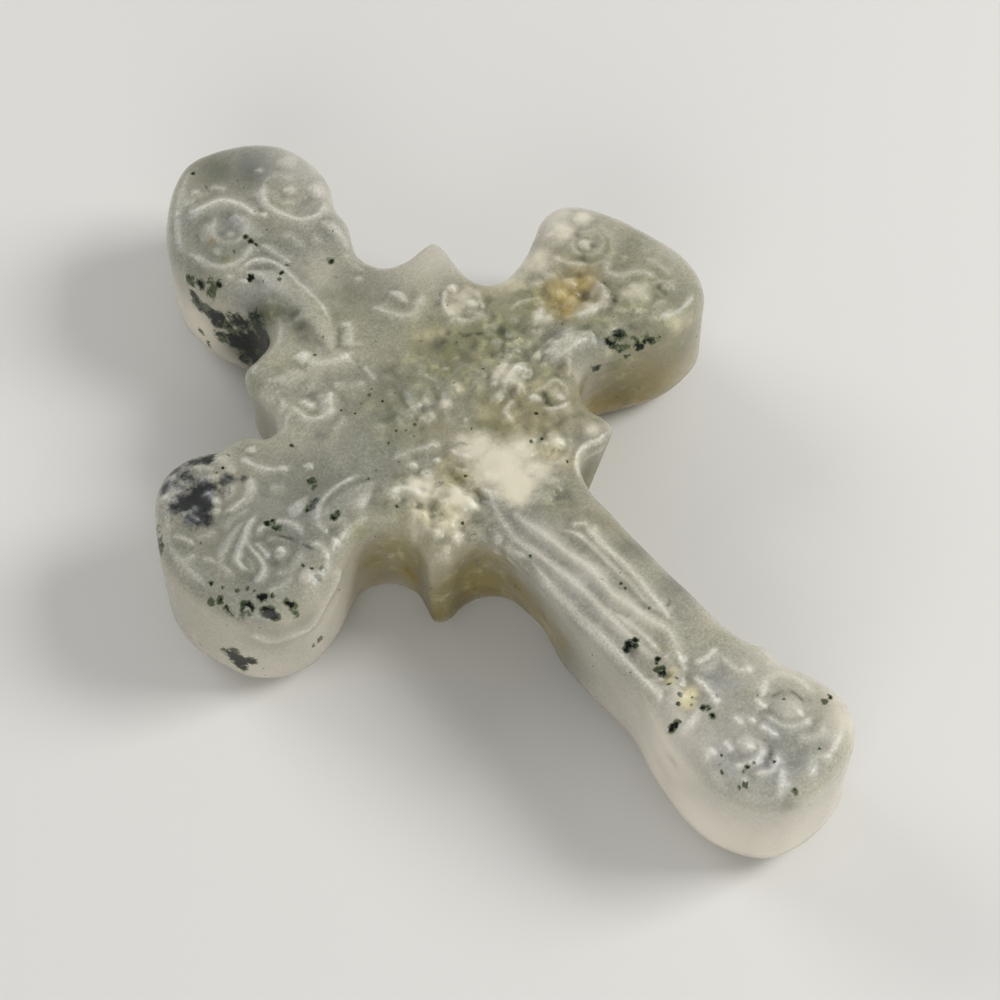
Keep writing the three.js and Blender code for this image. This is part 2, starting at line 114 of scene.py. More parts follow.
SHAFT_LEFT = [
    (-SHAFT_HALF, -21.0), (-SHAFT_HALF + 0.1, -16), (-SHAFT_HALF + 0.15, -11.5),
    (-SHAFT_HALF + 0.1, -8.2),
]
LOWER_LEFT_CUSP = [
    (-4.0, -6.4), (-4.8, -5.4), (-6.0, -5.0), (-7.4, -5.0), (-8.3, -4.4), (-8.1, -3.3),
    (-7.8, -2.0), (-8.2, -0.6), (-9.2, 0.4),
]
LEFT_ARM = [
    (-10.6, 0.7), (-12.2, 0.1), (-14.4, -1.1), (-17.1, -1.7), (-19.5, -1.0), (-21.4, 0.6),
    (-22.5, 3.2), (LEFT_TIP, ARM_AXIS_Y - 0.6), (-22.6, 7.8), (-21.5, 10.2), (-20.1, 12.2),
    (-18.4, 13.5), (-16.9, 13.8), (-15.4, 13.6), (-13.8, 12.9), (-12.6, 12.8), (-11.6, 12.5),
    (-11.0, 11.6),
]
UPPER_LEFT_CUSP = [
    (-9.9, 11.5), (-9.1, 12.5), (-8.9, 14.4), (-8.9, 16.2), (-8.4, 17.1), (-7.1, 17.4), (-5.6, 17.9),
]
UPPER_LIMB_LEFT = [
    (-NECK_HALF - 0.2, 19.0), (-NECK_HALF - 0.2, 20.6), (-5.5, 22.4), (-6.2, 24.4), (-6.5, 26.5),
    (-6.4, 28.3), (-5.6, 30.3), (-4.0, 32.4), (-2.0, 34.3),
]
OUTLINE = (
    UPPER_LIMB_RIGHT + UPPER_RIGHT_CUSP + RIGHT_ARM + LOWER_RIGHT_CUSP + SHAFT_RIGHT + FOOT_BULB
    + SHAFT_LEFT + LOWER_LEFT_CUSP + LEFT_ARM + UPPER_LEFT_CUSP + UPPER_LIMB_LEFT
)

# Stretches of the wall that lean in towards the back: start, end, reach and depth.
UNDERCUTS = [
    ((-3.9, -7.9), (-3.8, -9.4), 2.8, 1.3),
    ((8.8, -4.2), (7.0, -4.8), 2.0, 2.6),
    ((-8.9, 15.6), (-8.9, 13.0), 2.2, 1.1),
]
# Stretches where the rim stays crisp: start, end, reach and the share of rounding lost.
CRISP_RIMS = [
    ((-3.8, -7.5), (-3.9, -22.0), 2.0, 0.65),
    ((5.0, -5.2), (8.6, -4.5), 1.8, 0.6),
]

# Crests that run round a wall: the line, half of its width, its height and how white it is
# painted, which is a painted highlight along the wall's rounding.
WALL_CRESTS = [
    ([(-20.6, -0.3, 8.6), (-19.8, -0.9, 7.9), (-19.0, -1.2, 7.9), (-18.0, -1.6, 7.9),
      (-16.9, -1.7, 7.9), (-16.2, -1.6, 8.5), (-15.4, -1.3, 9.1), (-14.6, -1.0, 9.4),
      (-13.8, -0.6, 9.8)], 0.5, 0.25, 1.0),
]

# How far apart the mesh's points lie, and how many rings the wall and its roundings have.
CURVE_STEPS = 12
WALL_POINT_SPACING = 0.25
WALL_RING_STEPS = 18
BACK_RING_STEPS = 6
RIM_RING_STEPS = 9
FACE_POINT_SPACING = 0.135
BACK_POINT_SPACING = 1.5
# How far along the edge a rounding looks, and the slow waves of the ground wall.
ROUNDING_REACH = 3.2
WALL_WAVES_PER_MM = 0.28
WALL_WAVE_DEPTH = 0.12


def smooth_line(points, spacing, closed=False):
    """Evenly spaced points on a centripetal Catmull-Rom curve through the given points."""
    p = np.array(points, float)
    if closed:
        p = np.vstack([p[-1], p, p[0], p[1]])
    else:
        p = np.vstack([2 * p[0] - p[1], p, 2 * p[-1] - p[-2]])
    fine = []
    share = np.linspace(0, 1, CURVE_STEPS + 1)[:-1, None]
    for before, start, end, after in zip(p, p[1:], p[2:], p[3:]):
        first, middle, last = (
            math.sqrt(np.linalg.norm(b - a))
            for a, b in ((before, start), (start, end), (end, after))
        )
        rest = end - start
        leave = (start - before) / first - (end - before) / (first + middle) + rest / middle
        arrive = rest / middle - (after - start) / (middle + last) + (after - end) / last
        leave, arrive = leave * middle, arrive * middle
        fine.append(
            start + leave * share + (3 * rest - 2 * leave - arrive) * share ** 2
            + (leave + arrive - 2 * rest) * share ** 3
        )
    fine = np.vstack(fine + [p[-2][None]])
    steps = np.linalg.norm(np.diff(fine, axis=0), axis=1)
    along = np.concatenate([[0], np.cumsum(steps)])
    count = max(2, round(along[-1] / spacing))
    places = np.linspace(0, along[-1], count + 1)
    even = np.column_stack([np.interp(places, along, fine[:, k]) for k in range(p.shape[1])])
    return even[:-1] if closed else even


def inward_directions(ring):
    """The way each point moves when the ring shrinks: the inward normal, averaged around it.
    The average is short at a cusp and in a tight notch, so the rounding is smaller there."""
    edges = np.roll(ring, -1, axis=0) - ring
    lengths = np.linalg.norm(edges, axis=1)
    starts = np.concatenate([[0], np.cumsum(lengths)[:-1]])
    girth = lengths.sum()
    apart = np.abs((starts + lengths / 2)[None, :] - starts[:, None])
    apart = np.minimum(apart, girth - apart)
    weight = np.exp(-((apart / ROUNDING_REACH) ** 2))
    inward = np.column_stack([edges[:, 1], -edges[:, 0]])
    return (weight @ inward) / (weight @ lengths)[:, None]


def nearness(points, start, end, reach):
    """1 on a straight stretch, falling to 0 away from it."""
    start, end = np.array(start), np.array(end)
    run = end - start
    share = np.clip((points - start) @ run / (run @ run), 0, 1)
    away = np.linalg.norm(points - start - share[:, None] * run, axis=1)
    return np.exp(-((away / reach) ** 2))


def rim_rounding(points):
    """The radius of the rim's rounding at each outline point."""
    radius = np.full(len(points), RIM_ROUNDING)
    for start, end, reach, share in CRISP_RIMS:
        radius *= 1 - share * nearness(points, start, end, reach)
    return radius


def undercut(points, height):
    """How far the wall leans in at each outline point, at a height above the back."""
    depth = np.zeros(len(points))
    for start, end, reach, most in UNDERCUTS:
        depth += most * nearness(points, start, end, reach) * (1 - height / FACE_HEIGHT)
    return depth


def waviness(places, waves_per_mm, depth):
    """The slow unevenness that grinding by hand leaves."""
    return np.array([depth * noise.noise(Vector(p) * waves_per_mm) for p in places])


def wall_crest(places, line, half):
    """1 on the line of a wall's crest, falling to 0 beside it."""
    line = smooth_line(line, WALL_POINT_SPACING)
    away = np.linalg.norm(places[:, None] - line[None], axis=2).min(axis=1)
    return np.exp(-((away / half) ** 2))


outline = smooth_line(OUTLINE, WALL_POINT_SPACING, closed=True)
inward = inward_directions(outline)
rim = rim_rounding(outline)


def ring_at(inset, height):
    """One ring of the blank. Inset and height hold a value for each outline point."""
    level = np.column_stack([outline, height])
    inset = inset + undercut(outline, height)
    inset = inset + waviness(level, WALL_WAVES_PER_MM, WALL_WAVE_DEPTH)
    for line, half, high, _ in WALL_CRESTS:
        inset -= high * wall_crest(level, line, half)
    return np.column_stack([outline + inward * inset[:, None], height])


rings = []
for turn in np.linspace(0, math.pi / 2, BACK_RING_STEPS + 1):
    back_height = np.full(len(outline), BACK_ROUNDING * (1 - math.cos(turn)))
    rings.append(ring_at(np.full(len(outline), BACK_ROUNDING * (1 - math.sin(turn))), back_height))
for share in np.linspace(0, 1, WALL_RING_STEPS + 1)[1:-1]:
    wall_height = BACK_ROUNDING + share * (FACE_HEIGHT - rim - BACK_ROUNDING)
    rings.append(ring_at(np.zeros(len(outline)), wall_height))
for turn in np.linspace(0, math.pi / 2, RIM_RING_STEPS + 1):
    rings.append(ring_at(rim * (1 - math.cos(turn)), FACE_HEIGHT - rim * (1 - math.sin(turn))))


# The carved ornament of the face: scrolls, leaves, the long ridges of the shaft and round
# bosses. The real ones are ground with small wheels, which leave soft crests that look
# frosted and shallow furrows beside them. Each stroke has its crest, the half of its width
# and its height, in millimetres, and how white the crest is painted, as frosting together
# with a painted highlight.
UPPER_LIMB_STROKES = [
    ([(-5.05, 27.4), (-5.0, 26.5), (-4.8, 25.7), (-4.4, 25.15), (-3.9, 24.8), (-3.2, 24.6),
      (-2.4, 24.65), (-1.7, 24.95), (-1.2, 25.4)], 0.42, 0.4, 0.5),
    ([(-2.9, 30.1), (-2.3, 30.4), (-1.5, 30.3), (-0.7, 30.1), (-0.2, 29.7), (0.2, 29.1), (0.45, 28.4),
      (0.6, 27.6), (0.9, 27.1)], 0.42, 0.48, 0.7),
    ([(3.0, 29.3), (2.5, 28.7), (2.1, 28.0), (1.9, 27.3), (2.0, 26.5), (2.3, 25.7), (2.7, 25.0),
      (3.1, 24.6), (4.0, 24.3), (5.0, 24.5), (5.5, 25.0)], 0.38, 0.45, 0.6),
    ([(-1.9, 29.0), (-2.6, 28.4), (-2.9, 27.6), (-2.7, 26.8), (-2.0, 26.3), (-1.2, 26.3),
      (-0.5, 26.8), (-0.3, 27.6), (-0.5, 28.2)], 0.42, 0.36, 0.45),
    ([(0.0, 27.2), (-0.4, 26.6), (-0.7, 25.9)], 0.25, 0.2, 0.2),
    ([(-0.7, 24.9), (-0.5, 24.2), (-0.4, 23.4), (-0.25, 22.6), (-0.1, 22.1)], 0.42, 0.36, 0.5),
    ([(-3.3, 23.9), (-2.5, 24.0), (-1.7, 23.7), (-1.1, 22.9), (-0.9, 21.6), (-0.85, 20.0),
      (-0.8, 18.4), (-0.9, 17.0), (-1.2, 15.8)], 0.34, 0.5, 0.7),
    ([(-1.3, 24.5), (-1.1, 24.9), (-0.9, 25.2)], 0.22, 0.2, 0.5),
    ([(-3.8, 26.1), (-3.5, 26.5), (-3.3, 26.8)], 0.26, 0.25, 0.4),
    ([(-0.3, 31.6), (0.1, 31.2), (0.4, 30.7)], 0.26, 0.25, 0.5),
    ([(-2.7, 31.5), (-1.7, 31.6), (-0.7, 31.3)], 0.3, 0.2, 0.2),
    ([(2.8, 28.2), (2.8, 27.5), (3.1, 26.9), (3.7, 26.6)], 0.4, 0.2, 0.15),
    ([(3.2, 29.4), (3.9, 29.5), (4.6, 29.0), (4.8, 28.2)], 0.4, 0.2, 0.15),
    ([(3.6, 20.3), (3.4, 19.2), (3.6, 18.3)], 0.4, 0.25, 0.25),
    ([(0.9, 24.5), (1.4, 24.2), (1.6, 23.6), (1.4, 22.8)], 0.3, 0.2, 0.25),
    ([(2.9, 23.0), (2.6, 22.2)], 0.25, 0.15, 0.2),
    ([(-3.5, 20.6), (-3.0, 19.6), (-2.7, 18.7)], 0.22, 0.2, 0.8),
    ([(-4.7, 14.2), (-4.2, 13.6), (-3.4, 13.0), (-2.5, 12.7), (-1.9, 12.7)], 0.75, 0.48, 0.8),
    ([(-1.5, 13.2), (-0.9, 13.9), (-0.4, 14.7), (-0.4, 15.3)], 0.32, 0.35, 0.4),
    ([(2.2, 15.0), (2.5, 14.1), (2.9, 13.3), (3.4, 12.8), (4.0, 12.6), (4.9, 12.9), (5.6, 13.5)],
     0.42, 0.38, 0.35),
]
CENTRE_STROKES = [
    ([(-7.9, 11.8), (-7.85, 11.0), (-7.75, 10.4), (-7.3, 9.85), (-6.7, 9.65), (-6.0, 9.8),
      (-5.5, 10.3), (-5.0, 11.1)], 0.36, 0.4, 0.5),
    ([(-7.05, 11.8), (-7.0, 11.3), (-6.9, 10.8)], 0.34, 0.4, 0.85),
    ([(-5.9, 10.3), (-5.4, 10.65), (-5.0, 11.0)], 0.34, 0.4, 0.7),
    ([(-8.65, 14.9), (-8.55, 14.0), (-8.4, 13.2)], 0.24, 0.3, 0.6),
    ([(-8.4, 12.7), (-8.6, 12.0)], 0.2, 0.25, 0.6),
    ([(-6.9, 8.2), (-5.95, 8.5), (-5.65, 8.95)], 0.26, 0.2, 0.25),
    ([(-4.2, 11.4), (-4.0, 10.7), (-3.3, 10.3), (-2.6, 10.1)], 0.5, 0.3, 0.25),
    ([(-1.8, 11.3), (-1.75, 10.6), (-1.8, 9.9)], 0.24, 0.25, 0.6),
    ([(7.5, 12.8), (6.6, 12.3), (6.05, 11.5), (6.0, 10.6), (6.3, 9.7), (7.2, 9.2), (8.1, 9.7),
      (8.6, 10.8), (8.5, 11.8)], 0.34, 0.4, 0.4),
    ([(-4.9, 3.6), (-3.8, 3.35), (-2.8, 2.85), (-1.8, 2.6)], 0.36, 0.32, 0.45),
    ([(-7.4, 1.0), (-6.8, 1.5), (-6.0, 1.0), (-5.5, 0.4)], 0.36, 0.38, 0.6),
    ([(-6.1, -0.4), (-5.1, -0.1)], 0.26, 0.25, 0.4),
    ([(-8.3, -0.9), (-8.1, -2.1)], 0.26, 0.3, 1.0),
    ([(-8.7, 0.2), (-8.4, -0.5)], 0.2, 0.2, 0.5),
    ([(-8.7, -1.6), (-8.65, -2.4)], 0.2, 0.2, 0.6),
    ([(-7.2, -5.0), (-6.7, -4.3)], 0.22, 0.25, 0.7),
    ([(-2.3, 0.2), (-1.8, -0.6)], 0.22, 0.2, 0.5),
    ([(-1.9, -2.3), (-1.8, -3.0), (-2.1, -3.7), (-2.2, -4.2)], 0.22, 0.25, 0.6),
    ([(-1.55, 1.6), (-1.3, 0.9), (-0.9, 0.3)], 0.26, 0.25, 0.8),
    ([(-1.35, 6.4), (-1.35, 4.5)], 0.24, 0.2, 0.4),
    ([(-0.2, 6.4), (-0.3, 5.6), (-0.6, 5.0), (-0.7, 4.5)], 0.26, 0.2, 0.4),
    ([(0.95, 5.3), (0.4, 4.7)], 0.3, 0.25, 0.7),
    ([(2.3, 5.9), (2.1, 5.0)], 0.28, 0.2, 0.6),
    ([(1.3, 8.0), (1.4, 7.4), (1.65, 6.8)], 0.22, 0.2, 0.6),
    ([(2.9, 7.6), (2.7, 7.2)], 0.2, 0.2, 0.5),
    ([(4.4, 3.9), (5.5, 4.4), (6.5, 4.8), (7.6, 5.2), (8.4, 5.0)], 0.32, 0.36, 0.5),
    ([(3.7, 2.7), (4.6, 3.2), (5.6, 3.7), (6.6, 3.9), (7.6, 3.8)], 0.4, 0.45, 0.6),
    ([(5.1, 2.1), (5.8, 2.6), (6.5, 2.8)], 0.2, 0.2, 0.5),
    ([(6.4, 1.5), (7.0, 1.3), (7.8, 1.4), (8.2, 0.9), (8.1, 0.2), (7.8, -0.3)], 0.3, 0.36, 0.35),
    ([(6.0, 0.0), (6.5, -0.5), (7.1, -0.75), (7.7, -0.65)], 0.22, 0.3, 0.85),
    ([(3.4, 0.6), (3.5, 1.3), (3.8, 1.7), (4.3, 1.95), (4.8, 2.0)], 0.22, 0.28, 0.7),
    ([(4.0, -2.0), (3.95, -2.6)], 0.22, 0.3, 0.9),
    ([(5.7, -3.0), (5.2, -3.7), (4.5, -4.1), (3.6, -4.1), (3.15, -3.4)], 0.24, 0.28, 0.4),
    ([(5.1, -2.3), (5.15, -3.0), (4.8, -3.6)], 0.2, 0.2, 0.5),
    ([(4.1, -5.9), (4.4, -5.4), (4.8, -4.8), (5.2, -4.5), (5.8, -4.35), (6.5, -4.35), (7.2, -4.6),
      (7.8, -4.3)], 0.2, 0.3, 0.85),
    ([(3.4, 4.9), (4.5, 5.0)], 0.28, 0.16, 0.25),
    ([(7.0, 8.3), (8.2, 8.0)], 0.22, 0.2, 0.25),
]
LEFT_ARM_STROKES = [
    ([(-18.8, 9.6), (-19.0, 9.05), (-18.8, 8.5)], 0.2, 0.3, 0.7),
    ([(-18.4, 9.7), (-18.5, 9.1)], 0.2, 0.2, 0.6),
    ([(-16.9, 10.0), (-17.0, 9.4), (-16.9, 8.7)], 0.26, 0.36, 0.9),
    ([(-17.6, 8.6), (-17.2, 8.1)], 0.22, 0.25, 0.6),
    ([(-14.6, 12.0), (-14.5, 11.0), (-14.6, 10.0)], 0.45, 0.3, 0.45),
    ([(-16.9, 7.85), (-16.4, 7.6), (-15.9, 7.75), (-15.4, 7.75), (-14.7, 8.0), (-14.15, 8.5),
      (-13.9, 9.0)], 0.25, 0.34, 0.6),
    ([(-21.4, 9.6), (-21.6, 8.5), (-21.8, 7.4), (-21.85, 6.3), (-21.85, 5.2), (-21.6, 4.1)],
     0.24, 0.26, 0.5),
    ([(-21.2, 10.0), (-21.3, 8.7)], 0.2, 0.15, 0.4),
    ([(-20.9, 8.6), (-20.5, 7.9), (-20.2, 7.2)], 0.26, 0.3, 0.6),
    ([(-21.7, 6.4), (-21.2, 6.4), (-20.7, 6.5)], 0.22, 0.2, 0.4),
    ([(-15.6, 6.2), (-16.4, 5.8), (-17.1, 5.3), (-17.8, 4.8), (-18.4, 4.4), (-18.8, 4.0),
      (-18.85, 3.5), (-18.6, 3.0)], 0.24, 0.4, 0.7),
    ([(-16.4, 6.4), (-17.4, 6.0), (-18.5, 5.5), (-19.3, 5.1), (-19.9, 4.6)], 0.22, 0.28, 0.4),
    ([(-17.3, 5.0), (-17.5, 4.3), (-17.45, 3.6), (-17.5, 3.0), (-17.7, 2.4), (-18.1, 2.05),
      (-18.8, 1.8)], 0.24, 0.36, 0.6),
    ([(-18.1, 3.9), (-18.2, 3.1), (-18.5, 2.6)], 0.18, 0.2, 0.4),
    ([(-16.9, 4.4), (-16.9, 3.6), (-16.85, 3.1)], 0.18, 0.28, 0.9),
    ([(-16.6, 2.7), (-16.2, 2.55), (-15.8, 2.7), (-15.7, 3.1)], 0.2, 0.28, 0.7),
    ([(-16.5, 4.9), (-15.8, 5.1), (-15.0, 5.0), (-14.3, 4.5), (-13.95, 3.7), (-13.95, 3.0)],
     0.24, 0.32, 0.5),
    ([(-17.4, 1.5), (-16.4, 1.2), (-15.4, 1.4), (-14.7, 1.9)], 0.26, 0.22, 0.25),
    ([(-16.2, 4.1), (-15.5, 3.9), (-15.2, 3.2)], 0.22, 0.18, 0.2),
    ([(-20.4, 5.8), (-19.9, 4.6), (-19.7, 3.4)], 0.26, 0.24, 0.35),
    ([(-17.9, 6.6), (-16.9, 7.0), (-15.6, 7.0)], 0.26, 0.2, 0.25),
    ([(-19.9, 7.6), (-19.2, 7.2), (-18.5, 7.1)], 0.24, 0.2, 0.3),
    ([(-18.6, 0.8), (-17.6, 0.5), (-16.6, 0.7)], 0.24, 0.2, 0.3),
    ([(-16.9, 10.6), (-16.2, 10.8), (-15.5, 10.4), (-15.3, 9.6), (-15.7, 8.9), (-16.4, 8.6)],
     0.24, 0.3, 0.35),
    ([(-19.2, 9.8), (-19.5, 9.0), (-19.3, 8.3)], 0.2, 0.25, 0.5),
    ([(-18.8, 11.2), (-18.0, 11.6), (-17.2, 11.5)], 0.22, 0.22, 0.5),
    ([(-16.4, 12.2), (-15.8, 11.8), (-15.4, 11.2)], 0.22, 0.22, 0.5),
    ([(-18.5, 12.4), (-17.6, 12.8)], 0.22, 0.2, 0.5),
    ([(-16.2, 7.5), (-15.4, 7.45), (-14.6, 7.7), (-14.0, 8.3)], 0.16, 0.2, 0.5),
    ([(-13.8, 1.9), (-13.6, 1.2), (-13.8, 0.2)], 0.3, 0.3, 0.6),
    ([(-12.7, 1.9), (-12.6, 2.8), (-12.2, 3.3), (-11.5, 3.9), (-10.5, 4.2), (-9.5, 4.3), (-8.0, 4.3)],
     0.24, 0.38, 0.65),
    ([(-11.8, 0.8), (-11.4, 1.1), (-10.3, 1.3), (-9.5, 1.2)], 0.26, 0.3, 0.5),
    ([(-13.25, 10.7), (-13.25, 10.0), (-13.05, 9.4), (-12.6, 8.7), (-11.95, 8.2), (-11.3, 7.9)],
     0.36, 0.38, 0.5),
]
RIGHT_ARM_STROKES = [
    ([(9.6, 0.55), (10.2, 0.95), (11.0, 1.1), (11.9, 0.9)], 0.28, 0.35, 1.0),
    ([(10.1, 6.0), (10.8, 6.4), (11.6, 6.85)], 0.24, 0.28, 0.75),
    ([(10.0, 5.4), (11.0, 5.8), (11.8, 6.1)], 0.24, 0.22, 0.35),
    ([(8.3, 3.2), (8.8, 4.0), (9.6, 4.2), (11.0, 4.15), (12.4, 4.0)], 0.22, 0.3, 0.45),
    ([(15.3, 9.9), (15.5, 9.1), (16.0, 8.4), (16.7, 7.8)], 0.4, 0.36, 0.5),
    ([(17.6, 10.2), (16.9, 9.6), (16.9, 8.8), (17.5, 8.2), (18.4, 8.1), (19.1, 8.7), (19.1, 9.7),
      (18.5, 10.2)], 0.34, 0.36, 0.25),
    ([(16.6, 7.7), (17.4, 7.2), (18.4, 7.2), (19.3, 7.9), (19.7, 9.0), (19.5, 10.2)], 0.42, 0.34, 0.2),
    ([(18.7, 6.2), (19.6, 6.6)], 0.24, 0.2, 0.3),
    ([(18.3, 6.8), (17.6, 6.6), (17.4, 6.0), (17.9, 5.4), (18.8, 4.9), (19.4, 4.3), (19.8, 3.5)],
     0.46, 0.4, 0.4),
    ([(20.5, 5.3), (20.8, 4.2), (20.9, 3.1)], 0.36, 0.26, 0.2),
    ([(16.2, 6.1), (16.2, 5.3), (15.6, 4.6), (14.6, 4.4), (13.6, 4.5), (12.8, 4.8)], 0.32, 0.38, 0.5),
    ([(13.7, 2.1), (14.5, 2.0)], 0.3, 0.25, 0.3),
    ([(12.5, 1.3), (12.6, 0.6)], 0.22, 0.2, 0.2),
    ([(16.8, 0.95), (18.1, 1.3)], 0.3, 0.2, 0.2),
    ([(18.2, 1.9), (19.0, 1.4)], 0.25, 0.2, 0.2),
    ([(16.5, 2.1), (17.6, 1.7), (18.9, 1.6)], 0.34, 0.26, 0.3),
    ([(19.1, 1.9), (19.1, 2.8), (19.7, 3.1), (20.2, 2.6), (20.1, 1.9)], 0.22, 0.28, 0.4),
    ([(12.0, 9.0), (13.2, 8.6), (14.3, 8.7)], 0.3, 0.25, 0.3),
    ([(10.2, 8.4), (11.4, 8.0), (12.3, 7.6)], 0.3, 0.25, 0.3),
    ([(11.2, 7.4), (12.1, 7.2)], 0.3, 0.22, 0.35),
]
SHAFT_STROKES = [
    ([(-3.75, -7.0), (-3.6, -7.6), (-3.4, -8.2), (-3.2, -8.6)], 0.22, 0.3, 0.85),
    ([(-3.2, -9.5), (-3.3, -10.2), (-3.45, -10.9), (-3.5, -11.6), (-3.6, -12.2), (-3.6, -14.0),
      (-3.55, -15.5), (-3.5, -17.5), (-3.45, -20.0), (-3.45, -21.5), (-3.5, -22.5), (-3.65, -23.2)],
     0.3, 0.38, 0.6),
    ([(-2.3, -4.2), (-2.5, -5.0), (-2.75, -6.0), (-2.85, -7.2), (-2.7, -8.2), (-2.5, -9.2),
      (-2.4, -10.0), (-2.25, -11.0), (-2.1, -12.0), (-2.0, -13.0), (-1.95, -14.0), (-2.0, -15.0),
      (-2.0, -17.0), (-1.95, -19.0), (-1.85, -20.1)], 0.42, 0.38, 0.35),
    ([(-1.45, -5.6), (-1.5, -6.2), (-1.45, -7.0), (-1.2, -8.0), (-1.0, -9.0), (-0.9, -10.0),
      (-0.75, -11.0), (-0.55, -12.0), (-0.5, -13.0), (-0.65, -14.0), (-0.7, -14.9), (-0.5, -15.6),
      (-0.35, -16.5), (-0.2, -17.5), (0.0, -18.3), (0.2, -19.0), (0.3, -19.6), (0.1, -20.3),
      (-0.2, -20.9), (-0.5, -21.5), (-0.75, -22.3)], 0.52, 0.52, 0.4),
    ([(-0.3, -21.1), (-0.5, -21.7), (-0.75, -22.4)], 0.2, 0.3, 0.9),
    ([(0.2, -8.7), (0.6, -9.3), (0.8, -10.0), (0.85, -12.0), (0.85, -14.0), (0.9, -15.0),
      (0.75, -16.0), (0.75, -17.0), (0.9, -17.8), (1.1, -18.4)], 0.2, 0.36, 0.65),
    ([(1.6, -9.6), (1.5, -10.5), (1.45, -11.5), (1.5, -12.5), (1.55, -13.5), (1.5, -14.5),
      (1.4, -15.5), (1.3, -16.2), (1.25, -17.0), (1.2, -18.0), (1.12, -18.5)], 0.4, 0.48, 0.6),
    ([(1.0, -8.7), (1.4, -9.0), (1.95, -9.35)], 0.22, 0.25, 0.75),
    ([(-1.5, -16.1), (-1.35, -17.0), (-1.2, -18.0), (-1.15, -19.0), (-1.15, -20.3)], 0.25, 0.32, 0.6),
    ([(1.1, -18.4), (1.5, -18.2), (1.95, -17.85)], 0.2, 0.15, 0.3),
    ([(0.1, -22.6), (1.0, -22.7), (2.0, -22.6)], 0.25, 0.32, 0.85),
    ([(0.0, -23.2), (1.0, -23.3), (2.0, -23.1)], 0.24, 0.2, 0.4),
    ([(-0.7, -23.2), (-0.6, -24.2), (-0.7, -25.0), (-0.9, -25.7)], 0.25, 0.36, 0.85),
    ([(1.8, -23.3), (1.8, -24.2), (2.0, -24.9), (2.9, -25.2)], 0.26, 0.25, 0.4),
    ([(-1.3, -21.0), (-0.8, -20.75), (-0.3, -20.45)], 0.2, 0.2, 0.4),
    ([(-4.5, -25.9), (-3.0, -25.5), (-1.4, -25.1)], 0.22, 0.2, 0.4),
    ([(-3.4, -23.4), (-2.6, -23.2), (-1.9, -23.15)], 0.3, 0.2, 0.25),
]
FOOT_STROKES = [
    ([(-4.4, -29.0), (-4.6, -30.0), (-4.4, -31.3), (-3.9, -32.5), (-3.2, -33.5), (-2.4, -34.0)],
     0.24, 0.22, 0.3),
    ([(-4.2, -28.4), (-3.8, -28.05), (-3.3, -28.05)], 0.27, 0.3, 0.5),
    ([(-2.4, -28.1), (-2.45, -29.0)], 0.22, 0.28, 0.7),
    ([(-0.6, -27.2), (-0.6, -27.9)], 0.23, 0.25, 0.8),
    ([(-3.0, -30.1), (-2.2, -30.4), (-1.5, -30.4), (-0.9, -30.1), (-0.55, -29.5)], 0.22, 0.32, 0.4),
    ([(-2.4, -31.2), (-1.9, -31.6), (-1.4, -31.8), (-0.8, -31.5), (-0.3, -31.15)], 0.23, 0.32, 0.8),
    ([(0.25, -28.8), (0.4, -29.4), (0.55, -30.1)], 0.3, 0.38, 0.8),
    ([(1.4, -27.1), (1.4, -28.0)], 0.25, 0.32, 0.9),
    ([(1.8, -27.1), (2.2, -26.7), (3.0, -26.5), (3.9, -26.8), (4.5, -27.7), (4.7, -28.9)],
     0.45, 0.34, 0.35),
    ([(1.1, -28.6), (1.3, -29.6), (1.9, -30.3), (2.6, -30.55), (3.2, -30.5)], 0.3, 0.36, 0.5),
    ([(1.6, -31.0), (2.2, -31.7), (2.9, -31.9), (3.5, -31.6)], 0.36, 0.3, 0.4),
    ([(-2.3, -33.5), (-1.2, -32.4), (-0.7, -32.05)], 0.22, 0.32, 0.75),
    ([(0.3, -34.0), (0.55, -33.4), (1.2, -33.0), (1.8, -33.15), (2.3, -33.8)], 0.34, 0.3, 0.45),
]
SCROLLS = UPPER_LIMB_STROKES + CENTRE_STROKES + LEFT_ARM_STROKES + RIGHT_ARM_STROKES + FOOT_STROKES
LEAVES = [
    ([(-3.0, 23.3), (-2.4, 22.5), (-1.95, 21.4), (-1.8, 20.0), (-1.7, 18.6), (-1.7, 17.3),
      (-1.8, 16.2), (-2.1, 15.1), (-2.6, 14.1)], 1.15, 0.62, 0.55),
    ([(4.0, 23.7), (4.4, 22.8), (4.5, 21.8), (4.2, 20.7)], 0.58, 0.38, 0.5),
    ([(-7.5, 14.6), (-6.8, 14.1), (-6.0, 13.8), (-5.3, 13.4)], 0.8, 0.36, 0.25),
    ([(4.0, 15.3), (4.2, 14.5), (4.3, 13.7)], 0.42, 0.4, 0.5),
    ([(-16.6, -0.3), (-15.9, 0.0), (-15.2, 0.5)], 0.4, 0.3, 0.45),
    ([(-13.7, 4.35), (-12.9, 4.9), (-11.8, 5.1)], 0.42, 0.32, 0.4),
    ([(-12.6, 2.3), (-11.2, 2.8), (-9.6, 2.9), (-7.7, 3.1)], 1.05, 0.5, 0.15),
    ([(8.3, 3.0), (9.8, 3.2), (11.4, 3.15), (12.7, 3.0)], 1.05, 0.6, 0.55),
]
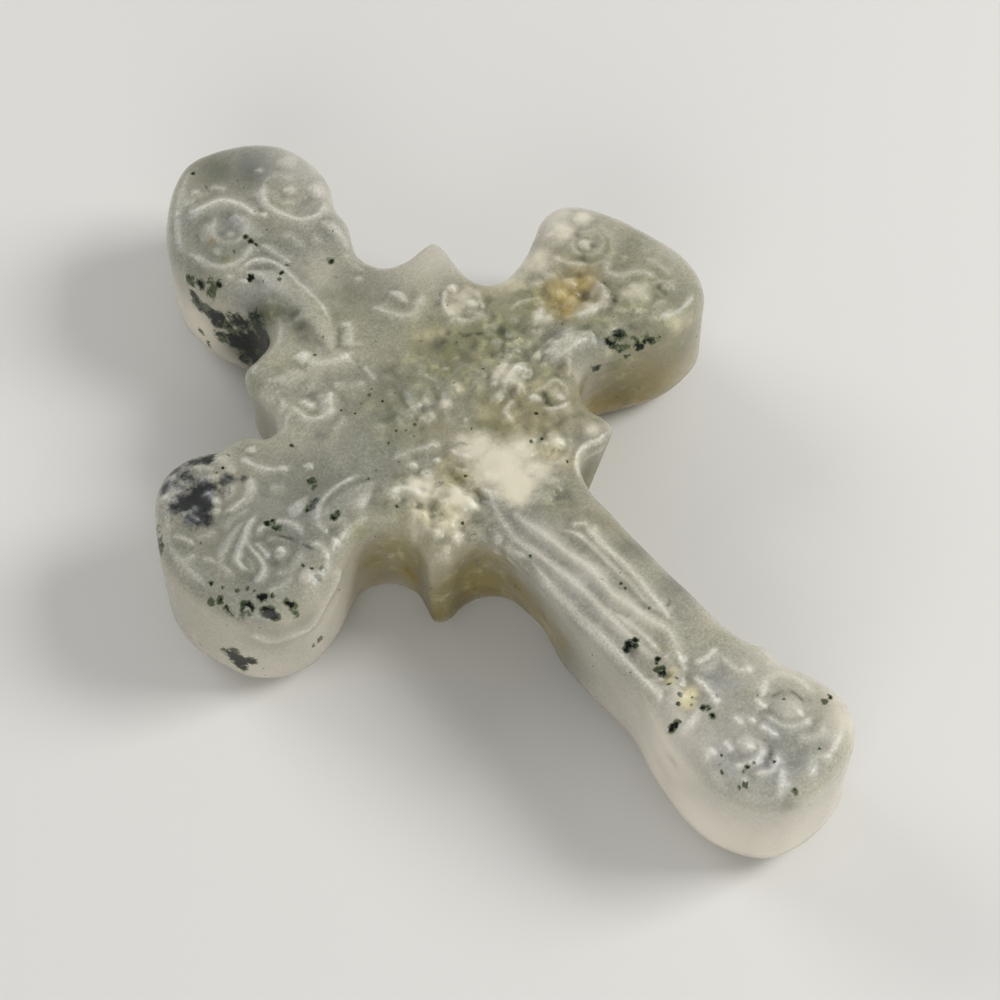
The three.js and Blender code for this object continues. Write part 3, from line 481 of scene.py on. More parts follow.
# Round bosses: the place, the radius, the height and how white it is painted, as frosting
# with a painted highlight.
BOSSES = [
    (5.8, 26.3, 0.7, 0.35, 0.5), (5.7, 29.8, 0.8, 0.3, 0.45), (1.15, 26.9, 0.32, 0.35, 0.8),
    (-1.4, 32.0, 0.32, 0.25, 0.4), (-3.6, 31.5, 0.32, 0.25, 0.4), (4.15, 27.6, 0.45, 0.25, 0.4),
    (-1.9, 27.1, 0.5, 0.3, 0.5), (3.6, 30.6, 0.32, 0.2, 0.3), (-4.3, 24.0, 0.27, 0.25, 0.5),
    (-3.7, 23.0, 0.24, 0.25, 0.5), (-4.6, 14.6, 0.7, 0.48, 1.0), (2.9, 17.7, 0.32, 0.2, 0.3),
    (7.6, 12.5, 0.42, 0.4, 0.75), (7.8, 10.4, 0.46, 0.38, 0.7), (-6.8, 1.4, 0.42, 0.42, 0.8),
    (-5.7, 0.3, 0.42, 0.4, 0.8), (-4.45, 2.3, 0.36, 0.35, 0.7), (-4.15, 1.1, 0.42, 0.38, 0.6),
    (-2.85, 1.55, 0.27, 0.3, 0.7), (-3.9, -2.0, 1.05, 0.5, 0.3), (-4.6, -1.7, 0.36, 0.55, 0.9),
    (-3.45, -3.0, 0.46, 0.42, 0.9), (-5.8, -4.35, 0.36, 0.35, 0.8), (-8.2, -3.6, 0.24, 0.25, 0.7),
    (-6.7, -3.2, 0.32, 0.3, 0.5), (5.9, 1.2, 0.38, 0.38, 0.85), (7.4, 0.5, 0.62, 0.3, 0.2),
    (7.4, -0.05, 0.36, 0.36, 1.0), (6.5, 3.8, 0.42, 0.52, 1.0), (4.55, 3.9, 0.34, 0.38, 0.7),
    (4.7, -2.9, 0.5, 0.42, 1.0), (1.0, 3.0, 0.24, 0.2, 0.6), (-12.5, 0.95, 0.36, 0.35, 0.9),
    (-15.9, 2.9, 0.32, 0.35, 0.9), (-19.5, 11.7, 0.27, 0.3, 0.6), (-19.2, 10.9, 0.27, 0.25, 0.8),
    (-12.4, 10.8, 0.32, 0.3, 0.6), (-10.1, 7.1, 0.32, 0.3, 0.4), (-12.9, 7.0, 0.6, 0.2, 0.1),
    (17.8, 3.4, 1.25, 0.4, 0.2), (13.3, 1.0, 0.32, 0.25, 0.9), (13.5, 6.9, 0.5, 0.2, 0.1),
    (14.6, 7.5, 0.45, 0.2, 0.1), (16.0, 6.6, 0.4, 0.2, 0.2), (17.2, 11.3, 0.95, 0.34, 0.3),
    (19.3, 11.2, 0.7, 0.34, 0.4), (17.7, 9.3, 0.55, 0.4, 0.6), (19.7, 2.5, 0.5, 0.3, 0.2),
    (-3.7, -6.2, 0.42, 0.35, 0.85), (-1.4, -29.3, 0.75, 0.36, 0.3), (-1.4, -29.5, 0.36, 0.42, 0.8),
    (-2.9, -30.1, 0.22, 0.3, 0.9), (0.1, -28.15, 0.24, 0.3, 0.9), (2.5, -29.2, 1.0, 0.42, 0.15),
    (2.9, -29.85, 0.27, 0.46, 0.8), (-3.3, -31.1, 0.25, 0.25, 0.7), (-8.4, 12.4, 0.4, 0.3, 0.4),
    (-6.9, -0.9, 0.45, 0.3, 0.5),
]
# Broad low swells and shallow pits of the face, in the same way. A pit has a height below 0.
SWELLS = [
    (7.2, 11.1, 1.9, 0.22), (1.2, -1.0, 3.6, 0.35), (14.9, 5.8, 0.75, -0.45), (-5.0, -1.0, 3.2, 0.25),
    (0.5, 9.5, 3.0, -0.15), (-1.0, 28.7, 0.8, -0.3), (-3.9, 28.6, 1.0, -0.15),
    (-6.2, 11.6, 0.9, -0.2), (-16.9, 2.55, 0.8, -0.15), (-1.3, -31.0, 0.7, -0.15),
    (0.4, -32.1, 1.2, -0.15), (6.5, 0.4, 0.5, -0.2), (17.0, 8.4, 0.6, -0.15),
    (-4.15, 1.1, 0.25, -0.2),
]
# Places where the stone was left knobbly: middle, radius and depth of the knobs.
KNOBBLY = [
    (-4.5, -1.8, 2.8, 0.26), (0.0, 6.5, 4.0, 0.08), (7.0, 5.0, 3.5, 0.15), (4.5, -1.5, 2.5, 0.10),
    (7.5, 10.0, 2.5, 0.08), (-7.0, 11.0, 2.5, 0.05), (-2.0, -22.8, 1.8, 0.12), (2.0, -6.6, 1.6, 0.10),
    (15.0, 2.0, 3.5, 0.08), (14.0, 7.0, 2.2, 0.10),
]
# How a stroke falls away from its crest: below 2 it has a thin crest and wide flanks, above 2
# it is a plump pad with a marked edge.
SCROLL_FALL = 1.15
SHAFT_FALL = 1.7
PAD_FALL = 3.5
CREST_STEEPNESS = 1.2
# The soft flank beside a crest: its width in halves of the stroke, its least width, and its
# share of the height.
FLANK_WIDTH = 1.5
FLANK_LEAST = 0.25
FLANK_SHARE = 0.45
PAD_FLANK_SHARE = 0.15
# How a stroke changes along its length: its blunt ends, its taper, and its uneven width.
BLUNT_END = 0.06
TAPER = 2.2
LEAF_FULLNESS = 0.75
LOWEST_SHARE = 0.3
STROKE_WAVES_PER_MM = 0.9
STROKE_UNEVENNESS = 0.35
# The carving is worked out on a grid over the face, a little wider than each stroke.
LINE_SPACING = 0.12
GRID_STEP = 0.1
GRID_CORNER = (-25.0, -37.0)
GRID_SHAPE = (740, 500)
STROKE_REACH = 3.0
STROKE_MARGIN = 0.6
# Where strokes meet, the heights add up as powers, so that the higher one wins.
MEETING_POWER = 3
SWELL_WIDTH = 0.6
KNOB_SIZES = (0.28, 0.8)
FACE_WAVE_SIZES = (0.8, 3.0)
FACE_WAVE_DEPTH = 0.05
GRAIN_SEED = 11
CARVING_SOFTNESS = 0.09
# A crest stands proud of the stone round it and gets a painted highlight, and a furrow lies
# below it and gets painted shade. Each is full at this height or depth.
CREST_REACH = 0.4
CREST_FULL = 0.13
NARROW_FURROW_FULL = 0.12
NARROW_FURROW_SHARE = 0.7
FURROW_REACH = 1.0
WIDE_FURROW_FULL = 0.2
WIDE_FURROW_SHARE = 0.6
# The frosting and its painted highlight lie thin on a stroke's crest and faint beside it,
# and every crest of the relief gets a painted highlight as well.
FROST_AND_HIGHLIGHT_SHARE = 0.75
FROST_AND_HIGHLIGHT_ON_CREST = 0.7
FROST_AND_HIGHLIGHT_ON_FLANK = 0.3
STROKE_FROST_AND_HIGHLIGHT = 0.85
PAINTED_CREST_HIGHLIGHT = 0.22


def stroke_size(share, leaf):
    """Size of a stroke along its length: a leaf swells, other strokes only taper at the ends."""
    bow = np.sin(math.pi * (BLUNT_END + (1 - 2 * BLUNT_END) * share))
    return bow ** LEAF_FULLNESS if leaf else np.minimum(1, TAPER * bow)


def softened(field, reach):
    """A field of the grid, with all that is finer than the reach smoothed away."""
    up = np.fft.fftfreq(GRID_SHAPE[0], GRID_STEP)[:, None]
    across = np.fft.rfftfreq(GRID_SHAPE[1], GRID_STEP)[None, :]
    kept = np.exp(-2 * (math.pi * reach) ** 2 * (up ** 2 + across ** 2))
    return np.fft.irfft2(np.fft.rfft2(field) * kept, GRID_SHAPE)


def grain_field(finest, coarsest):
    """Seeded unevenness between two sizes, with a spread of about 1."""
    white = np.random.default_rng(GRAIN_SEED).normal(size=GRID_SHAPE)
    field = softened(white, finest) - softened(white, coarsest)
    return field / field.std()


grid_y = (GRID_CORNER[1] + GRID_STEP * np.arange(GRID_SHAPE[0]))[:, None] + np.zeros(GRID_SHAPE)
grid_x = (GRID_CORNER[0] + GRID_STEP * np.arange(GRID_SHAPE[1]))[None, :] + np.zeros(GRID_SHAPE)
relief = np.zeros(GRID_SHAPE)
frost_and_highlight_grid = np.zeros(GRID_SHAPE)


def raise_hump(window, away, half, high, fall, white):
    """Raise a crest on a wider soft flank, and whiten it: matt finish with a painted highlight."""
    crest_part = np.exp(-CREST_STEEPNESS * (away / half) ** fall)
    flank_part = np.exp(-((away / (FLANK_WIDTH * half + FLANK_LEAST)) ** 2))
    flank_share = PAD_FLANK_SHARE if fall == PAD_FALL else FLANK_SHARE
    hump = high * ((1 - flank_share) * crest_part + flank_share * flank_part)
    relief[window] += hump ** MEETING_POWER
    thin = np.exp(-((away / (FROST_AND_HIGHLIGHT_SHARE * half)) ** 2))
    frost_and_highlight_here = white * (FROST_AND_HIGHLIGHT_ON_CREST * thin + FROST_AND_HIGHLIGHT_ON_FLANK * flank_part)
    frost_and_highlight_grid[window] = np.maximum(frost_and_highlight_grid[window], frost_and_highlight_here)


def window_around(low, high, half):
    """The part of the grid that a stroke covers, from the box of its line and half its width."""
    margin = STROKE_REACH * half + STROKE_MARGIN
    columns = [int((v - GRID_CORNER[0]) / GRID_STEP) for v in (low[0] - margin, high[0] + margin)]
    rows = [int((v - GRID_CORNER[1]) / GRID_STEP) for v in (low[1] - margin, high[1] + margin)]
    return slice(rows[0], rows[1] + 1), slice(columns[0], columns[1] + 1)


for strokes, fall in ((SCROLLS, SCROLL_FALL), (SHAFT_STROKES, SHAFT_FALL), (LEAVES, PAD_FALL)):
    for crest, half, high, white in strokes:
        line = smooth_line(crest, LINE_SPACING)
        window = window_around(line.min(0), line.max(0), half)
        apart = np.hypot(
            grid_x[window][..., None] - line[:, 0], grid_y[window][..., None] - line[:, 1],
        )
        nearest = apart.argmin(axis=2)
        size = stroke_size(nearest / (len(line) - 1), fall == PAD_FALL)
        places = np.column_stack([line, np.full(len(line), half)])
        uneven = waviness(places, STROKE_WAVES_PER_MM, STROKE_UNEVENNESS)[nearest]
        half_there = half * size * (1 + uneven)
        high_there = high * (LOWEST_SHARE + (1 - LOWEST_SHARE) * size)
        raise_hump(window, apart.min(axis=2), half_there, high_there, fall, white * size)
for bx, by, radius, high, white in BOSSES:
    window = window_around((bx, by), (bx, by), radius)
    away = np.hypot(grid_x[window] - bx, grid_y[window] - by)
    raise_hump(window, away, radius, high, PAD_FALL, white)
relief = relief ** (1 / MEETING_POWER)


def round_spot(x, y, radius):
    """1 in the middle of a round spot of the face, falling to 0 beside it."""
    return np.exp(-(((grid_x - x) ** 2 + (grid_y - y) ** 2) / radius ** 2))


for x, y, radius, high in SWELLS:
    relief += high * round_spot(x, y, SWELL_WIDTH * radius)
knobs = np.zeros(GRID_SHAPE)
for x, y, radius, deep in KNOBBLY:
    knobs = np.maximum(knobs, deep * round_spot(x, y, radius))
relief += knobs * grain_field(*KNOB_SIZES) + FACE_WAVE_DEPTH * grain_field(*FACE_WAVE_SIZES)
relief = softened(relief, CARVING_SOFTNESS)
proud = relief - softened(relief, CREST_REACH)
hollow = softened(relief, FURROW_REACH) - relief
crests = np.clip(proud / CREST_FULL, 0, 1)
narrow_furrows = np.clip(-proud / NARROW_FURROW_FULL, 0, 1)
wide_furrows = np.clip(hollow / WIDE_FURROW_FULL, 0, 1)
# Painted shade: the furrows of the relief, darkened in the material.
furrows = np.clip(
    NARROW_FURROW_SHARE * narrow_furrows + WIDE_FURROW_SHARE * wide_furrows, 0, 1,
)
# Painted highlight: every crest of the relief lighter, over the frosting of the strokes.
frost_and_highlight_grid = np.clip(
    STROKE_FROST_AND_HIGHLIGHT * frost_and_highlight_grid * (0.5 + 0.5 * crests) + PAINTED_CREST_HIGHLIGHT * crests, 0, 1,
)


def on_grid(field, places):
    """The field's value at each place, from the four grid points round it."""
    column = (places[:, 0] - GRID_CORNER[0]) / GRID_STEP
    row = (places[:, 1] - GRID_CORNER[1]) / GRID_STEP
    i, j = row.astype(int), column.astype(int)
    v, u = row - i, column - j
    low = field[i, j] * (1 - u) + field[i, j + 1] * u
    high = field[i + 1, j] * (1 - u) + field[i + 1, j + 1] * u
    return low * (1 - v) + high * v


def inside_ring(points, ring):
    """Which points lie inside a closed ring, by counting the edges that they see to the right."""
    crossings = np.zeros(len(points), bool)
    for start, end in zip(ring, np.roll(ring, -1, axis=0)):
        if start[1] == end[1]:
            continue
        spans = (points[:, 1] > min(start[1], end[1])) & (points[:, 1] <= max(start[1], end[1]))
        share = (points[:, 1] - start[1]) / (end[1] - start[1])
        crossings ^= spans & (points[:, 0] < start[0] + share * (end[0] - start[0]))
    return crossings


# The share of the spacing that inner points keep clear of the ring, and the distance below
# which two points are one.
EDGE_CLEARANCE = 0.6
SAME_POINT = 1e-7


def filled(ring, spacing):
    """Inner points and triangles that fill a flat ring. Points 0 to n - 1 are the ring's own."""
    low, high = ring.min(0), ring.max(0)
    rows = np.arange(low[1], high[1], spacing * math.sqrt(3) / 2)
    grid = [
        (x, y)
        for i, y in enumerate(rows)
        for x in np.arange(low[0] + (i % 2) * spacing / 2, high[0], spacing)
    ]
    grid = np.array(grid)
    grid = grid[inside_ring(grid, ring)]
    tree = kdtree.KDTree(len(ring))
    for i, (x, y) in enumerate(ring):
        tree.insert((x, y, 0), i)
    tree.balance()
    clear = np.array([tree.find((x, y, 0))[2] > EDGE_CLEARANCE * spacing for x, y in grid])
    points = np.vstack([ring, grid[clear]])
    flat = [Vector(p) for p in points]
    border = list(range(len(ring)))
    _, _, triangles, origins, _, _ = delaunay_2d_cdt(flat, [], [border], 1, SAME_POINT, True)
    back = np.array([origin[0] for origin in origins])
    triangles = back[np.array(triangles)]
    across = np.nonzero(np.all(triangles < len(ring), axis=1))[0]
    middles = points[triangles[across]].mean(axis=1)
    outside = across[~inside_ring(middles, ring)]
    return points[len(ring):], np.delete(triangles, outside, axis=0)


# The marks inside the stone. Moss agate holds dark green to black tufts near its surface,
# soft grey clouds, ochre stains in the hollows and opaque cream patches. Each mark has its
# place in millimetres, its radius and its strength. One with no height lies on the face.
# Dark green and black tufts.
MOSS = [
    (-1.2, 26.1, 0.22, 0.9), (-1.1, 25.6, 0.24, 0.9), (-1.0, 25.1, 0.2, 0.9),
    (-3.2, 22.9, 0.28, 0.9), (-1.3, 21.7, 0.28, 0.9), (-1.8, 21.2, 0.22, 0.9),
    (2.35, 20.4, 0.28, 0.9), (-0.5, 33.7, 0.18, 0.9), (-3.9, 14.3, 0.15, 0.7),
    (-2.4, 15.1, 0.15, 0.7), (-5.2, 24.2, 0.35, 0.7), (-5.6, 24.8, 0.3, 0.7),
    (-6.5, 26.3, 10.0, 0.5, 1.0), (-6.2, 25.4, 10.4, 0.4, 0.9), (-5.8, 24.3, 0.5, 0.8),
    (-6.5, 26.0, 8.8, 0.5, 1.0), (-6.4, 25.6, 7.8, 0.6, 1.1), (-6.2, 24.8, 7.9, 0.7, 1.1),
    (-6.1, 24.1, 7.8, 0.6, 1.1), (-5.9, 23.5, 8.0, 0.6, 1.0), (-6.0, 23.9, 7.0, 0.6, 1.1),
    (-5.7, 23.0, 7.2, 0.7, 1.1), (-5.2, 22.0, 8.4, 0.9, 1.1), (-5.8, 23.7, 5.4, 0.6, 1.1),
    (-5.4, 22.4, 5.8, 1.0, 1.2), (-5.0, 21.4, 6.0, 1.3, 1.3), (-4.8, 20.4, 6.6, 1.4, 1.3),
    (-4.7, 19.4, 7.2, 1.4, 1.3), (-4.9, 20.9, 4.8, 1.1, 1.3), (-5.2, 22.0, 3.6, 0.5, 1.0),
    (-4.8, 20.7, 3.8, 0.8, 1.1), (-4.9, 18.7, 6.0, 1.0, 1.2), (-6.3, 25.7, 4.3, 0.35, 0.9),
    (-6.2, 25.0, 3.4, 0.35, 0.8), (-4.6, 19.8, 8.6, 1.1, 1.1), (-4.4, 20.6, 9.6, 0.8, 0.8),
    (-4.6, 18.2, 8.0, 0.9, 1.0), (-21.8, 8.9, 10.0, 0.45, 0.9), (-21.4, 9.6, 10.0, 0.45, 0.9),
    (-21.0, 10.2, 10.0, 0.4, 0.8), (-21.9, 3.0, 10.4, 0.3, 1.0), (-21.5, 2.5, 0.26, 1.0),
    (-21.5, 1.9, 0.22, 1.1), (-21.5, 1.4, 0.24, 1.1), (-21.35, 0.9, 0.22, 1.1),
    (-21.1, 0.6, 0.22, 1.0), (-20.8, 0.9, 0.22, 1.1), (-20.5, 1.15, 0.2, 1.1),
    (-20.2, 0.95, 0.2, 1.1), (-20.25, 0.6, 0.2, 1.1), (-20.55, 0.5, 0.2, 1.1),
    (-19.3, 0.8, 0.28, 1.1), (-19.0, 0.6, 0.28, 1.1), (-18.6, 0.4, 0.18, 0.9),
    (-19.7, -0.1, 0.28, 1.1), (-19.4, -0.4, 10.6, 0.36, 1.2), (-19.2, -0.7, 10.3, 0.3, 1.1),
    (-18.0, -0.6, 10.6, 0.32, 1.2), (-17.9, -0.9, 10.4, 0.32, 1.2), (-17.95, -1.2, 9.9, 0.28, 1.1),
    (-19.5, -1.1, 9.8, 0.2, 0.9), (-20.2, 2.25, 0.16, 0.7), (-19.5, 2, 0.16, 0.65),
    (-20.9, 3.1, 0.16, 0.7), (-21.2, 3.9, 0.18, 0.9), (-19.9, 2.2, 0.14, 0.6),
    (-19.6, 1.9, 0.14, 0.6), (-19.3, 1.5, 0.14, 0.6), (-15.35, 5.2, 0.25, 1.0),
    (-14.9, 5.0, 0.24, 1.0), (-15.0, 4.5, 0.32, 0.8), (-15.2, -0.5, 0.24, 1.0),
    (-14.5, -0.1, 0.18, 0.9), (-15.2, 0.3, 0.16, 0.7), (-15.5, 0.9, 0.16, 0.6),
    (-19.8, 7, 0.16, 0.6), (-15.5, 10.9, 0.13, 0.7), (-14.9, 10.9, 0.13, 0.7),
    (-21.6, 1.2, 4.6, 0.8, 1.3), (-21.9, 2.0, 4.9, 0.4, 1.0), (-21.0, 0.5, 4.8, 0.5, 1.2),
    (-21.5, 1.0, 3.7, 0.5, 1.1), (-21.6, 1.3, 5.7, 0.4, 1.0), (-17.0, -1.7, 5.0, 0.25, 0.8),
    (-16.4, -1.7, 5.1, 0.3, 0.8), (-10.7, 6.0, 0.3, 1.05), (-10.9, 5.4, 0.24, 0.8),
    (-11.6, 4.4, 0.32, 1.1), (-12.1, 4.25, 0.3, 1.05), (-12.5, 4.2, 0.2, 0.8),
    (-11.5, 2.45, 0.28, 1.0), (-11.1, 2.5, 0.24, 0.9), (-10.0, 9.3, 0.2, 0.9),
    (-11.8, 0.1, 0.22, 0.9), (-4.5, 5.1, 0.15, 0.7), (-2.9, 4.95, 0.12, 0.6),
    (-2.1, 4.95, 0.15, 0.7), (-2.8, 4.2, 0.11, 0.7), (-6.35, 3, 0.11, 0.7), (-6.6, 3.8, 0.1, 0.7),
    (-7.5, 3.6, 0.1, 0.7), (-7.45, 0.5, 0.12, 0.8), (-5.25, -1.65, 0.11, 0.7),
    (-4.75, -3.55, 0.11, 0.7), (-4.75, -4.75, 0.14, 0.7), (-2.15, -0.8, 0.14, 0.7),
    (-3, 9.05, 0.14, 0.7), (-3.9, 8.9, 0.1, 0.7), (-2.6, 8.05, 0.1, 0.7), (-1.45, 8.1, 0.1, 0.7),
    (-4.75, 8.55, 0.1, 0.7), (-5.35, 9.35, 0.1, 0.7), (-3.45, 5.45, 0.1, 0.7),
    (2.35, 5.9, 0.12, 0.6), (5.2, 0.1, 0.14, 0.8), (3.3, -1.6, 0.16, 0.7), (4.1, -1.8, 0.12, 0.7),
    (4.2, -4.5, 0.1, 0.7), (3, 10.5, 0.16, 0.5), (5.8, 5, 0.15, 0.5), (6.4, 5.2, 0.15, 0.5),
    (4.7, 5.5, 0.15, 0.5), (-4.15, 1.1, 0.1, 0.6), (12.2, 1.4, 8.8, 0.3, 1.1),
    (11.7, 1.1, 9.4, 0.32, 1.1), (11.3, 0.9, 10.0, 0.28, 1.0), (13.6, 1.6, 0.3, 1.0),
    (14.2, 1.6, 0.32, 1.0), (14.6, 1.5, 0.3, 1.1), (13.7, 0.9, 10.5, 0.42, 1.2),
    (14.0, 0.8, 10.0, 0.3, 1.1), (14.5, 0.7, 10.2, 0.25, 1.0), (15.0, 0.7, 10.8, 0.3, 1.0),
    (15.3, 0.5, 0.25, 1.0), (15.35, 0.3, 9.8, 0.3, 1.1), (15.85, 0.1, 10.3, 0.32, 1.1),
    (16.3, -0.1, 10.1, 0.32, 1.1), (16.8, -0.3, 10.1, 0.24, 0.9), (14.4, 0.6, 9.2, 0.26, 0.9),
    (16.2, 0.3, 0.2, 0.9), (-2.75, -18.65, 0.3, 0.95), (-2.35, -18.45, 0.28, 0.95),
    (-2.1, -18.85, 0.22, 0.8), (-1.85, -18.6, 0.26, 0.8), (-1.6, -20.6, 0.2, 0.9),
    (-1.9, -20.8, 0.14, 0.7), (-2.1, -21.15, 0.27, 0.95), (-2.1, -21.55, 0.27, 0.95),
    (-1.8, -21.3, 0.2, 0.9), (-2.3, -22.5, 0.16, 0.8), (-1.6, -22.55, 0.15, 0.8),
    (-2.8, -24, 0.14, 0.8), (-2.3, -23.6, 0.17, 0.9), (-2.1, -24.65, 0.16, 0.7),
    (-1.8, -24.25, 0.15, 0.5), (-4.3, -25.0, 0.26, 0.95), (-4.0, -25.0, 0.26, 0.95),
    (-3.75, -25.05, 0.2, 0.9), (0.42, -13.55, 0.13, 0.6), (0.42, -14.5, 0.14, 0.6),
    (0.4, -15, 0.13, 0.6), (0.45, -15.6, 0.13, 0.6), (0.55, -17.25, 0.15, 0.7),
    (0.25, -17.1, 0.12, 0.5), (-3, -8.8, 0.14, 0.7), (0.9, -13.9, 0.11, 0.6),
    (-2.9, -30.6, 0.14, 0.6), (-2.5, -30.5, 0.2, 0.85), (-2, -30.6, 0.15, 0.6),
    (-3.2, -28.75, 0.12, 0.6), (-3.8, -29.1, 0.13, 0.6), (-4, -29.7, 0.14, 0.7),
    (-3.4, -31.35, 0.2, 0.85), (-3.8, -31.2, 0.14, 0.7), (-0.9, -31.4, 0.14, 0.7),
    (-1.5, -33.8, 0.2, 0.8), (-1.15, -33.8, 0.2, 0.85), (2.1, -32.7, 0.14, 0.7),
    (1.2, -34.5, 0.14, 0.7), (4.25, -29.55, 0.13, 0.7), (2.8, -28.4, 0.14, 0.7),
    (4.9, -30.25, 0.24, 0.75), (5.4, -30.2, 0.22, 0.8), (-1.75, -25.3, 0.24, 0.85),
    (-1.5, -25.55, 0.2, 0.8), (-1.65, -26.15, 0.22, 0.8),
]
# Milk with a cold, faintly lilac cast.
LILAC = [
    (-1.5, -31.5, 2.2, 0.8), (1.5, -32.2, 2.0, 0.7), (0.0, -29.5, 2.2, 0.6),
    (-3.0, -29.5, 1.8, 0.6), (0.8, -24.5, 1.6, 0.6), (4.0, 31.5, 2.2, 0.35), (-1.0, 28.5, 1.6, 0.5),
    (5.5, 29.0, 1.6, 0.5), (-3.5, 21.0, 1.8, 0.6), (-15.0, 6.0, 3.0, 0.3), (-1.8, -13.0, 2.0, 0.3),
    (1.5, 3.5, 1.0, 0.3),
]
# The grey-black cloud of the left arm, with its fringes. The faint spot beside the leaf of
# the upper limb is painted shade.
CLOUDS = [
    (-18.6, 10.2, 1.3, 1.0), (-17.8, 9.4, 1.2, 1.0), (-16.9, 10.4, 1.1, 0.9),
    (-18.9, 8.9, 1.1, 0.95), (-18.4, 8.3, 0.9, 0.8), (-19.5, 10.2, 1.1, 0.75),
    (-18.4, 11.8, 1.4, 0.6), (-16.6, 11.8, 1.2, 0.45), (-16.0, 9.2, 0.9, 0.6),
    (-14.2, 9.2, 0.5, 0.7), (-15.3, 9.9, 0.8, 0.8), (-17.6, 10.0, 1.3, 1.05),
    (-17.6, 13.2, 1.0, 0.8), (-16.2, 13.0, 1.0, 0.75), (-15.2, 12.4, 1.0, 0.85),
    (-18.8, 12.4, 1.1, 0.8), (-17.3, 11.9, 1.1, 0.7), (-2.8, 18.4, 1.2, 0.3),
    (-2.3, -33.2, 0.6, 0.3),
]
# Dark depths behind the moss and dark patches in the stone, and painted shade: under the
# notches, along the lower edges of the walls, on the walls and beside the carving.
SHADOWS = [
    (-5.0, 20.5, 5.0, 2.6, 1.0), (-4.7, 19.3, 4.0, 2.4, 1.0), (-5.3, 21.8, 5.2, 1.8, 0.9),
    (-4.4, 20.2, 10.2, 1.6, 0.7), (-4.6, 18.6, 6.0, 1.8, 0.8), (-3.3, 19.2, 1.1, 0.55),
    (-2.9, 18.2, 0.7, 0.5), (-3.1, 17.1, 0.7, 0.6), (-3.4, 16.1, 0.6, 0.4),
    (-4.2, -6.2, 2.2, 1.2, 0.4), (-3.9, -8.2, 2.4, 1.4, 0.35), (-8.1, -3.4, 2.4, 1.2, 0.4),
    (13.0, 1.0, 2.0, 1.4, 0.4), (3.7, 9.35, 0.7, 0.6), (4.1, 9.2, 0.4, 0.8), (4.8, 9.6, 0.3, 0.5),
    (8.1, 7.3, 0.4, 0.5), (7.5, 6.2, 0.5, 0.4), (15.7, 7.4, 0.35, 0.6), (18.2, 8.8, 0.28, 0.7),
    (14.7, 5.5, 0.5, 0.5), (19.4, 2.7, 0.3, 0.6), (19.4, 2.1, 0.28, 0.5), (19.6, 0.4, 0.3, 0.4),
    (16.8, 8.4, 0.4, 0.4), (9.0, 10.0, 0.4, 0.3), (-8.0, -2.6, 3.0, 1.3, 0.5),
    (-8.2, -4.0, 2.8, 1.2, 0.5), (-6.0, -5.2, 3.0, 1.4, 0.5), (-4.3, -6.0, 3.0, 1.2, 0.5),
    (-3.8, -8.0, 3.0, 1.4, 0.45), (-9.5, 0.3, 3.0, 1.2, 0.4), (-4.2, -3.3, 0.4, 0.5),
    (-3.6, -3.7, 0.35, 0.5), (-0.6, -22.9, 0.35, 0.4), (-1.65, -25.4, 0.4, 0.5),
    (-1.65, -26.2, 0.32, 0.45), (-2.1, -34.2, 10.2, 0.7, 0.4), (9.0, -3.3, 7.5, 1.8, 0.45),
    (9.3, -1.6, 6.5, 2.0, 0.3), (19.0, -0.4, 7.0, 2.2, 0.22), (13.8, 0.7, 3.6, 2.4, 0.35),
    (-8.1, -3.2, 5.0, 2.0, 0.3), (-4.0, -7.0, 6.5, 2.0, 0.2), (-2.4, -18.9, 0.35, 0.6),
    (5.4, 6.9, 1.8, 0.2), (3.4, -12.5, 1.3, 0.3), (3.4, -17.0, 1.3, 0.3),
    (-17.2, -1.7, 8.3, 2.2, 0.3), (-19.4, -0.9, 8.2, 2.0, 0.3), (-15.0, -1.2, 9.0, 1.8, 0.25),
    (-5.2, 0.2, 0.3, 0.4), (-6.2, 0.2, 0.4, 0.35),
]
